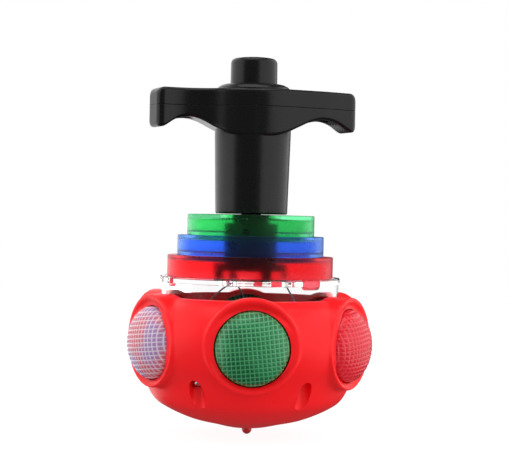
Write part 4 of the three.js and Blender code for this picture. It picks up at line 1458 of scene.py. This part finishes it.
@dataclass
class TierLeads:
    """Bare leads from the board up to the tier LEDs.

    Attributes:
        radius: of the wire, in mm.
        ring: distance of the LEDs from the axis, in mm.
        sides: facets round the wire.
        steps: straight pieces along it.
    """

    radius: float = 0.24
    ring: float = 10.4
    sides: int = 12
    steps: int = 40

    def build(self) -> list[Piece]:
        """Build the three leads.

        Returns:
            The leads, dressed and riding on the spinner.
        """
        made: list[Piece] = []
        for i in range(3):
            low, high = box_mm(f"tier_wire_{i + 1}")
            rise = high.z - low.z
            route = [
                (-7, -self.ring - 3, low.z), (-6.4, -self.ring - 3, low.z + 0.5 * rise),
                (-3, -self.ring - 1, low.z + 0.85 * rise), (0, -self.ring, high.z),
            ]
            lead = self.wire(f"lead_{i + 1}", route)
            around(lead, math.radians(-30) + math.tau * i / 3)
            made.append(hold(dress(smooth(lead), LEAD), Body.SPINNER, "copper", f"tier_wire_{i + 1}"))
        return made

    def wire(self, name: str, route: Sequence[Point]) -> Piece:
        """Sweep a round wire along a smooth route.

        Args:
            name: the object's name.
            route: points of the route, in mm.

        Returns:
            The wire.
        """
        keys = [(i, *p) for i, p in enumerate(route)]
        sides, steps = self.sides, self.steps
        samples = [Vector(along_keys(keys, (len(route) - 1) * k / steps)) for k in range(steps + 1)]
        points: list[Point] = []
        for k, at in enumerate(samples):
            ahead = samples[min(k + 1, steps)] - samples[max(k - 1, 0)]
            turn = ahead.to_track_quat("Z", "Y")
            for s in range(sides):
                angle = math.tau * s / sides
                offset = turn @ Vector((math.cos(angle), math.sin(angle), 0)) * self.radius
                points.append(tuple(at + offset))
        last = steps * sides
        faces: list[tuple[int, ...]] = [tuple(range(sides)), tuple(reversed(range(last, last + sides)))]
        for k in range(steps):
            for s in range(sides):
                n = (s + 1) % sides
                a, b = k * sides, (k + 1) * sides
                faces.append((a + s, b + s, b + n, a + n))
        return outward(mesh_object(name, points, faces))


@dataclass
class Screws:
    """Pan-head screws with a cross recess.

    Attributes:
        head_radius: in mm.
        head_height: in mm.
        shank: radius of the thread, in mm.
        pitch: of the thread, in mm.
        recess_reach: half the length of the cross recess, in mm.
        recess_half: half the width of its arms, in mm.
        recess_depth: in mm.
    """

    head_radius: float = 2.3
    head_height: float = 1.6
    shank: float = 0.95
    pitch: float = 0.8
    recess_reach: float = 1.35
    recess_half: float = 0.28
    recess_depth: float = 0.75

    def build(self) -> list[Piece]:
        """Build the body screws and the handle screws.

        Returns:
            The screws, dressed and riding on their bodies.
        """
        made: list[Piece] = []
        for node in sorted(frame["nodes"]):
            if "screw" not in node:
                continue
            low, high = box_mm(node)
            body = Body.SPINNER if node.startswith("body") else Body.HANDLE
            screw = self.screw(f"{node}_pan_head", high.z - low.z)
            middle = (low + high) / 2
            moved(screw, Matrix.Translation((middle.x * MM, middle.y * MM, low.z * MM)))
            made.append(hold(dress(smooth(screw), STEEL), body, "steel", node))
        return made

    def screw(self, name: str, length: float) -> Piece:
        """Make one screw that stands on its head.

        Args:
            name: the object's name.
            length: overall, in mm.

        Returns:
            The screw.
        """
        head = [(0, 0, 0), (self.head_radius * 0.55, 0.02, 0.3), (self.head_radius, 0.6, 0.5)]
        head.append((self.head_radius, self.head_height, 0.15))
        outline: list[Corner] = [*head, (self.shank, self.head_height, 0.1)]
        turns = int((length - self.head_height - 1.0) / self.pitch)
        for k in range(turns):
            z = self.head_height + 0.3 + k * self.pitch
            outline += [(self.shank - 0.2, z, 0.05), (self.shank, z + 0.4 * self.pitch, 0.05)]
        outline += [(self.shank - 0.25, length - 0.7, 0.1), (0, length, 0)]
        made = revolved(name, filleted(outline, closed=False, steps=2), 48)
        long, short, deep = self.recess_reach, self.recess_half, self.recess_depth
        arms = [block("arm", (-x, -y, -1.0), (x, y, deep)) for x, y in ((long, short), (short, long))]
        return combine(made, arms, Cut.REMOVE)


# ---------------------------------------------------------------- launcher


@dataclass
class WingedHandle:
    """The handle: two swept wings on a hub, split at a parting line, on a stem.

    Attributes:
        stations: along one wing, in mm: distance from the axis, sweep, half width, and the
            underside's height above the hub's underside. Sweep is towards +Y.
        end_angle: turn of the wing's end, in degrees.
        end_bend: how late along the wing that turn comes, as a power.
        belly: height of the hub's underside, in mm.
        top: height of the wings' top, in mm.
        parting: height of the parting line, in mm.
        groove: width of the parting line, in mm.
        round_edge: rounding of the long edges, in mm.
        end_round: rounding of the wings' ends, in mm.
        inner_edge: rounding of the edges at the parting line, in mm.
        stem: the stem's radius at its foot, in mm.
        draft: growth of the stem's radius up to the hub, in mm.
        stem_drop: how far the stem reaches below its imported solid, in mm.
        bore: the stem's inner radius, in mm.
        cavity: the hub's inner radius, in mm.
    """

    stations: tuple[tuple[float, float, float, float], ...] = (
        (0.0, 0.0, 11.6, 0.0),
        (4.0, -0.1, 11.2, 0.15),
        (8.0, -0.2, 10.0, 0.9),
        (12.5, -0.2, 8.0, 3.0),
        (16.5, 0.3, 6.7, 5.0),
        (20.3, 1.2, 5.8, 5.75),
        (24.0, 2.7, 5.1, 4.9),
        (27.2, 4.3, 4.7, 2.9),
        (29.8, 5.6, 4.6, 1.7),
    )
    end_angle: float = 24.0
    end_bend: float = 2.2
    belly: float = 88.7
    top: float = 102.9
    parting: float = 97.7
    groove: float = 0.06
    round_edge: float = 1.3
    end_round: float = 2.2
    inner_edge: float = 0.12
    stem: float = 10.8
    draft: float = 0.6
    stem_drop: float = 0.45
    bore: float = 9.05
    cavity: float = 9.6

    def station(self, place: float) -> tuple[Vector, Vector, float, float]:
        """Give the wing's section at a place along it.

        Args:
            place: from -1, the end of one wing, to 1, the end of the other.

        Returns:
            The section's middle, the direction across it, its half width and its lowest height.
        """
        sign = 1.0 if place >= 0 else -1.0
        reach = self.stations[-1][0]
        x, y, half, rise = self.read(abs(place) * reach)
        turn = math.radians(self.end_angle) * min(1.0, abs(place)) ** self.end_bend
        middle = Vector((x * sign, y * sign, 0))
        across = Vector((-math.sin(turn), math.cos(turn), 0))
        return middle, across, half, self.belly + rise

    def read(self, at: float) -> tuple[float, float, float, float]:
        """Read the stations at a distance from the axis."""
        y, half, rise = along_keys(self.stations, at)
        return at, y, half, rise

    def section(self, place: float, low: float | None, high: float, inset: float) -> list[Point]:
        """Make one closed section of a wing.

        Args:
            place: from -1 to 1 along the wings.
            low: height of a flat underside, or None for the shaped underside.
            high: height of the top.
            inset: how far the section lies inside the full one, for the rounded ends.

        Returns:
            The section's points, in mm.
        """
        middle, across, half, under = self.station(place)
        foot = under if low is None else low
        shaped = low is None
        lower = self.round_edge if shaped else self.inner_edge
        upper = self.inner_edge if shaped else self.round_edge
        half -= inset
        foot += inset if shaped else 0.0
        crown = high - (0.0 if shaped else inset)
        corners = [(-half, foot, lower), (half, foot, lower), (half, crown, upper), (-half, crown, upper)]
        outline: list[Pair] = []
        for i, corner in enumerate(corners):
            following = corners[(i + 1) % 4]
            arc = filleted([corners[i - 1], corner, following], closed=False, steps=6)[1:-1]
            outline += arc
            start, end = Vector(arc[-1]), Vector(self.first_of(corners, (i + 1) % 4))
            outline += [tuple(start.lerp(end, k / 8)) for k in range(1, 8)]
        return [tuple(middle + across * y + Vector((0, 0, z))) for y, z in outline]

    @staticmethod
    def first_of(corners: Sequence[Corner], i: int) -> Pair:
        """Give the point where a rounded corner starts."""
        return filleted([corners[i - 1], corners[i], corners[(i + 1) % 4]], closed=False, steps=6)[1]

    def places(self) -> list[tuple[float, float]]:
        """Give the sections' places and insets, closer together at the ends."""
        reach = self.stations[-1][0]
        inner = 1 - self.end_round / reach
        rows = [(-inner + 2 * inner * k / 96, 0.0) for k in range(97)]
        ends: list[tuple[float, float]] = []
        for k in range(1, 9):
            turn = k / 8 * math.pi / 2
            inset = self.end_round * (1 - math.cos(turn))
            ends.append((inner + self.end_round / reach * math.sin(turn), inset))
        left = [(-place, inset) for place, inset in reversed(ends)]
        return [*left, *rows, *ends]

    def loft(self, name: str, low: float | None, high: float) -> Piece:
        """Loft one half of the handle through its sections.

        Args:
            name: the object's name.
            low: height of a flat underside, or None for the shaped one.
            high: height of the top.

        Returns:
            The solid.
        """
        loops = [self.section(place, low, high, inset) for place, inset in self.places()]
        count = len(loops[0])
        points = [p for loop in loops for p in loop]
        last = (len(loops) - 1) * count
        faces: list[tuple[int, ...]] = [tuple(range(count)), tuple(reversed(range(last, last + count)))]
        for i in range(len(loops) - 1):
            a, b = i * count, (i + 1) * count
            for k in range(count):
                n = (k + 1) % count
                faces.append((a + k, b + k, b + n, a + n))
        return outward(mesh_object(name, points, faces))

    def build(self) -> list[Piece]:
        """Build the lower and the upper half.

        Returns:
            The halves, dressed and riding on the handle.
        """
        return [self.lower(), self.upper()]

    def lower(self) -> Piece:
        """Build the lower half with its stem."""
        foot = box_mm("handle_lower")[0].z - self.stem_drop
        retainer = box_mm("spring_retainer")[0].z - 0.1
        grip = self.loft("grip_lower", None, self.parting - self.groove / 2)
        slim, wide, neck = self.stem, self.stem + self.draft, self.belly + 1.0
        side = [(slim + (wide - slim) * k / 12, foot + (neck - foot) * k / 12, 0) for k in range(1, 13)]
        corners = [(0, foot, 0), (slim, foot, 0.55), *side, (wide, neck + 3.0, 0), (0, neck + 3.0, 0)]
        outline = filleted(corners, closed=False, steps=6)
        combine(grip, [revolved("stem", outline, 192)], Cut.JOIN)
        cuts = [cylinder("bore", self.bore, 0, 120, 128), cylinder("seat", self.cavity, retainer, 120, 128)]
        combine(grip, cuts + self.screw_rooms(), Cut.REMOVE)
        grip.name = "grip_lower"
        return hold(dress(smooth(grip), BLACK), Body.HANDLE, "black_plastic", "handle_lower")

    def screw_rooms(self) -> list[Piece]:
        """Make the cutters for the screws from under the wings."""
        rooms: list[Piece] = []
        for node in ("handle_screw_1", "handle_screw_2"):
            low, high = box_mm(node)
            middle = (low + high) / 2
            at = Matrix.Translation((middle.x * MM, middle.y * MM, 0))
            rooms.append(moved(cylinder(f"{node}_room", 2.6, 80, low.z + 1.7, 48), at))
            rooms.append(moved(cylinder(f"{node}_hole", 1.15, 80, high.z + 0.3, 32), at))
        return rooms

    def upper(self) -> Piece:
        """Build the upper half with its collar."""
        crown = box_mm("handle_upper")[1].z
        grip = self.loft("grip_upper", self.parting + self.groove / 2, self.top)
        outline = filleted(
            [
                (0, self.top - 1.0, 0), (11.2, self.top - 1.0, 0), (11.2, self.top + 0.1, 0.2),
                (10.6, self.top + 0.9, 0.7), (9.3, crown - 0.2, 0.9), (7.9, crown, 0.2), (0, crown, 0),
            ],
            closed=False,
            steps=6,
        )
        combine(grip, [revolved("collar", outline, 192)], Cut.JOIN)
        cuts = [
            cylinder("cavity", self.cavity, 0, crown - 2.1, 128),
            cylinder("button_hole", 7.3, 0, 120, 128),
        ]
        combine(grip, cuts + self.screw_rooms(), Cut.REMOVE)
        grip.name = "grip_upper"
        return hold(dress(smooth(grip), BLACK), Body.HANDLE, "black_plastic", "handle_upper")


@dataclass
class PushButton:
    """The release button: a domed cap on a flange with two long legs.

    Attributes:
        radius: in mm.
        wall: thickness, in mm.
        edge: rounding of its top edge, in mm.
        flange_top: height of the flange, in mm.
        leg_width: in mm.
        leg_thickness: in mm.
        sunk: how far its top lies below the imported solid's, in mm.
    """

    radius: float = 7.05
    wall: float = 1.45
    edge: float = 1.6
    flange_top: float = 102.35
    leg_width: float = 5.4
    leg_thickness: float = 0.95
    sunk: float = 0.35

    def build(self) -> Piece:
        """Build the button.

        Returns:
            The button, dressed and riding on its own body.
        """
        low, high = box_mm("release_button")
        rim = high.x
        inner = self.radius - self.wall
        foot = self.flange_top - self.wall
        top = high.z - self.sunk
        # The last corner only sets the slope of the one before it, so its nine points are dropped.
        outline = filleted(
            [
                (inner, foot, 0.2), (rim, foot, 0.2), (rim, self.flange_top, 0.2),
                (self.radius, self.flange_top, 0.2), (self.radius - 0.1, top - 0.35, self.edge),
                (self.radius * 0.55, top, 2.5),
            ],
            steps=8,
        )[:-9]
        outline += [(self.radius * 0.62, top - 0.03), (self.radius * 0.4, top), (0, top)]
        ceiling = [(0, high.z - self.wall), (inner, high.z - self.wall)]
        made = revolved("button_cap", [*ceiling, *outline], 160)
        leg, knee = rim - self.leg_thickness, foot + 0.2
        legs = revolved("legs", [(leg, low.z), (rim, low.z), (rim, knee), (leg, knee)], 128)
        half = self.leg_width / 2
        combine(legs, [block("leg_keep", (-half, -20, 0), (half, 20, 200))], Cut.KEEP)
        combine(made, [legs], Cut.JOIN)
        made.name = "button_cap"
        return hold(dress(smooth(made, 36.0), BLACK), Body.BUTTON, "black_plastic", "release_button")


# ---------------------------------------------------------------- carried-over nodes


class PlainNodes:
    """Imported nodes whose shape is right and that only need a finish."""

    SPECIAL: dict[str, Finish] = {
        "button_cell_1": CELL,
        "button_cell_2": CELL,
        "button_cell_3": CELL,
        "spin_switch": CELL,
        "battery_contact_plus": SPRING,
        "battery_contact_minus": SPRING,
    }

    def dress_all(self) -> None:
        """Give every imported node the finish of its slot."""
        slots = {part["node"]: part["material_slot"] for part in frame["record"]["subparts"]}
        for name, made in frame["nodes"].items():
            finish = self.SPECIAL.get(name, SLOT_FINISH[slots[name]])
            for slot in made.material_slots:
                slot.material = finish.material()
            LOG.info("%s: packed solid, %s", name, finish.name)


# ---------------------------------------------------------------- stage, light and camera


@dataclass
class Studio:
    """The floor, the lights and the camera.

    Attributes:
        eye_height: in mm.
        distance: of the camera from the axis, in mm.
        azimuth: of the camera from -Y towards +X, in degrees.
        roll: of the camera, in degrees.
        focal: in mm, on a 36 mm sensor.
        aim: what the middle of the view looks at: mm to the right of the axis, and height.
        floor_radius: in mm.
        fill_below: brightness of the soft light from below.
        fill_above: brightness of the soft light from above.
        mirrored: brightness of the room in mirror reflections.
    """

    eye_height: float = 63.6
    distance: float = 450.0
    azimuth: float = -1.9
    roll: float = 1.2
    focal: float = 106.3
    aim: Pair = (1.0, 59.4)
    floor_radius: float = 900.0
    fill_below: float = 0.62
    fill_above: float = 0.85
    mirrored: float = 0.09

    def build(self) -> None:
        """Set up the floor, the lights, the surroundings and the camera."""
        self.floor()
        self.lights()
        self.surroundings()
        self.camera()

    def floor(self) -> None:
        """Lay a pale round floor."""
        made = cylinder("floor", self.floor_radius, -2.0, 0.0)
        moved(made, Matrix.Translation((0, 0, -0.02 * MM)))
        pale = bpy.data.materials.new("pale_floor")
        pale.use_nodes = True
        shader = pale.node_tree.nodes["Principled BSDF"]
        shader.inputs["Base Color"].default_value = (0.12, 0.12, 0.12, 1.0)
        shader.inputs["Roughness"].default_value = 0.9
        shader.inputs["Specular IOR Level"].default_value = 0.0
        shader.inputs["Emission Color"].default_value = (1.0, 1.0, 1.0, 1.0)
        shader.inputs["Emission Strength"].default_value = 0.93
        made.visible_diffuse = False
        made.visible_glossy = False
        made.data.materials.append(pale)

    def lights(self) -> None:
        """Hang the softboxes: one on each side, one overhead."""
        self.softbox("left_box", azimuth=-118, height=180, distance=600, size=(2200, 1100), radiance=1.15)
        self.softbox("right_box", azimuth=86, height=180, distance=600, size=(2200, 1100), radiance=1.05)
        self.softbox("top_box", azimuth=-20, height=900, distance=150, size=(800, 800), radiance=1.6)

    def softbox(
        self, name: str, azimuth: float, height: float, distance: float, size: Pair, radiance: float
    ) -> None:
        """Hang one softbox that faces the object.

        Args:
            name: the light's name.
            azimuth: from -Y towards +X, in degrees.
            height: in mm.
            distance: from the axis, in mm.
            size: width and height, in mm.
            radiance: brightness of its face.
        """
        data = bpy.data.lights.new(name, "AREA")
        data.shape = "RECTANGLE"
        data.size, data.size_y = size[0] * MM, size[1] * MM
        data.energy = radiance * math.pi * data.size * data.size_y
        made = bpy.data.objects.new(name, data)
        bpy.context.scene.collection.objects.link(made)
        turn = math.radians(azimuth)
        made.location = Vector((math.sin(turn) * distance, -math.cos(turn) * distance, height)) * MM
        made.rotation_euler = (Vector((0, 0, 55 * MM)) - made.location).to_track_quat("-Z", "Y").to_euler()
        made.visible_camera = False

    def surroundings(self) -> None:
        """Make the surroundings white to look at, softer as a light, and dark in mirror reflections."""
        world = bpy.data.worlds.new("studio")
        world.use_nodes = True
        bpy.context.scene.world = world
        sheet = NodeSheet(world.node_tree)
        world.node_tree.nodes.clear()
        path = sheet.add("ShaderNodeLightPath")
        seen = sheet.add("ShaderNodeMath", operation="MAXIMUM")
        sheet.link(path.outputs["Is Camera Ray"], seen.inputs[0])
        sheet.link(path.outputs["Is Transmission Ray"], seen.inputs[1])
        where = sheet.add("ShaderNodeTexCoord")
        axes = sheet.add("ShaderNodeSeparateXYZ")
        sheet.link(where.outputs["Generated"], axes.inputs["Vector"])
        fill = sheet.between(sheet.ramp(axes.outputs["Z"], -0.6, 0.6), self.fill_below, self.fill_above)
        soft = sheet.background(1.0)
        sheet.link(fill, soft.inputs["Strength"])
        first = sheet.add("ShaderNodeMixShader")
        sheet.link(path.outputs["Is Glossy Ray"], first.inputs[0])
        sheet.link(soft.outputs["Background"], first.inputs[1])
        sheet.link(sheet.background(self.mirrored).outputs["Background"], first.inputs[2])
        mix = sheet.add("ShaderNodeMixShader")
        sheet.link(seen.outputs["Value"], mix.inputs[0])
        sheet.link(first.outputs["Shader"], mix.inputs[1])
        sheet.link(sheet.background(1.0).outputs["Background"], mix.inputs[2])
        out = sheet.add("ShaderNodeOutputWorld")
        sheet.link(mix.outputs["Shader"], out.inputs["Surface"])

    def camera(self) -> None:
        """Set up the camera, nearly level and a little rolled."""
        data = bpy.data.cameras.new("camera")
        data.sensor_width = 36.0
        data.lens = self.focal
        data.clip_start = 0.01
        made = bpy.data.objects.new("camera", data)
        bpy.context.scene.collection.objects.link(made)
        turn = math.radians(self.azimuth)
        eye = Vector((math.sin(turn) * self.distance, -math.cos(turn) * self.distance, self.eye_height))
        right = Vector((math.cos(turn), math.sin(turn), 0))
        target = right * self.aim[0] + Vector((0, 0, self.aim[1]))
        look = (target - eye).to_track_quat("-Z", "Y")
        tilt = look @ Quaternion((0, 0, 1), math.radians(self.roll))
        made.matrix_world = Matrix.LocRotScale(eye * MM, tilt, None)
        bpy.context.scene.camera = made
        bpy.context.scene.view_settings.view_transform = "Standard"


def main() -> None:
    """Build every sub-assembly and the studio."""
    logging.basicConfig(level=logging.INFO, format="%(message)s")
    PlainNodes().dress_all()
    Bowl().build()
    Tip().build()
    PrismLenses().build()
    ClearCover().build()
    LightTiers().build()
    DriveSocket().build()
    TierLeads().build()
    Screws().build()
    WingedHandle().build()
    PushButton().build()
    Studio().build()


if __name__ == "__main__":
    main()
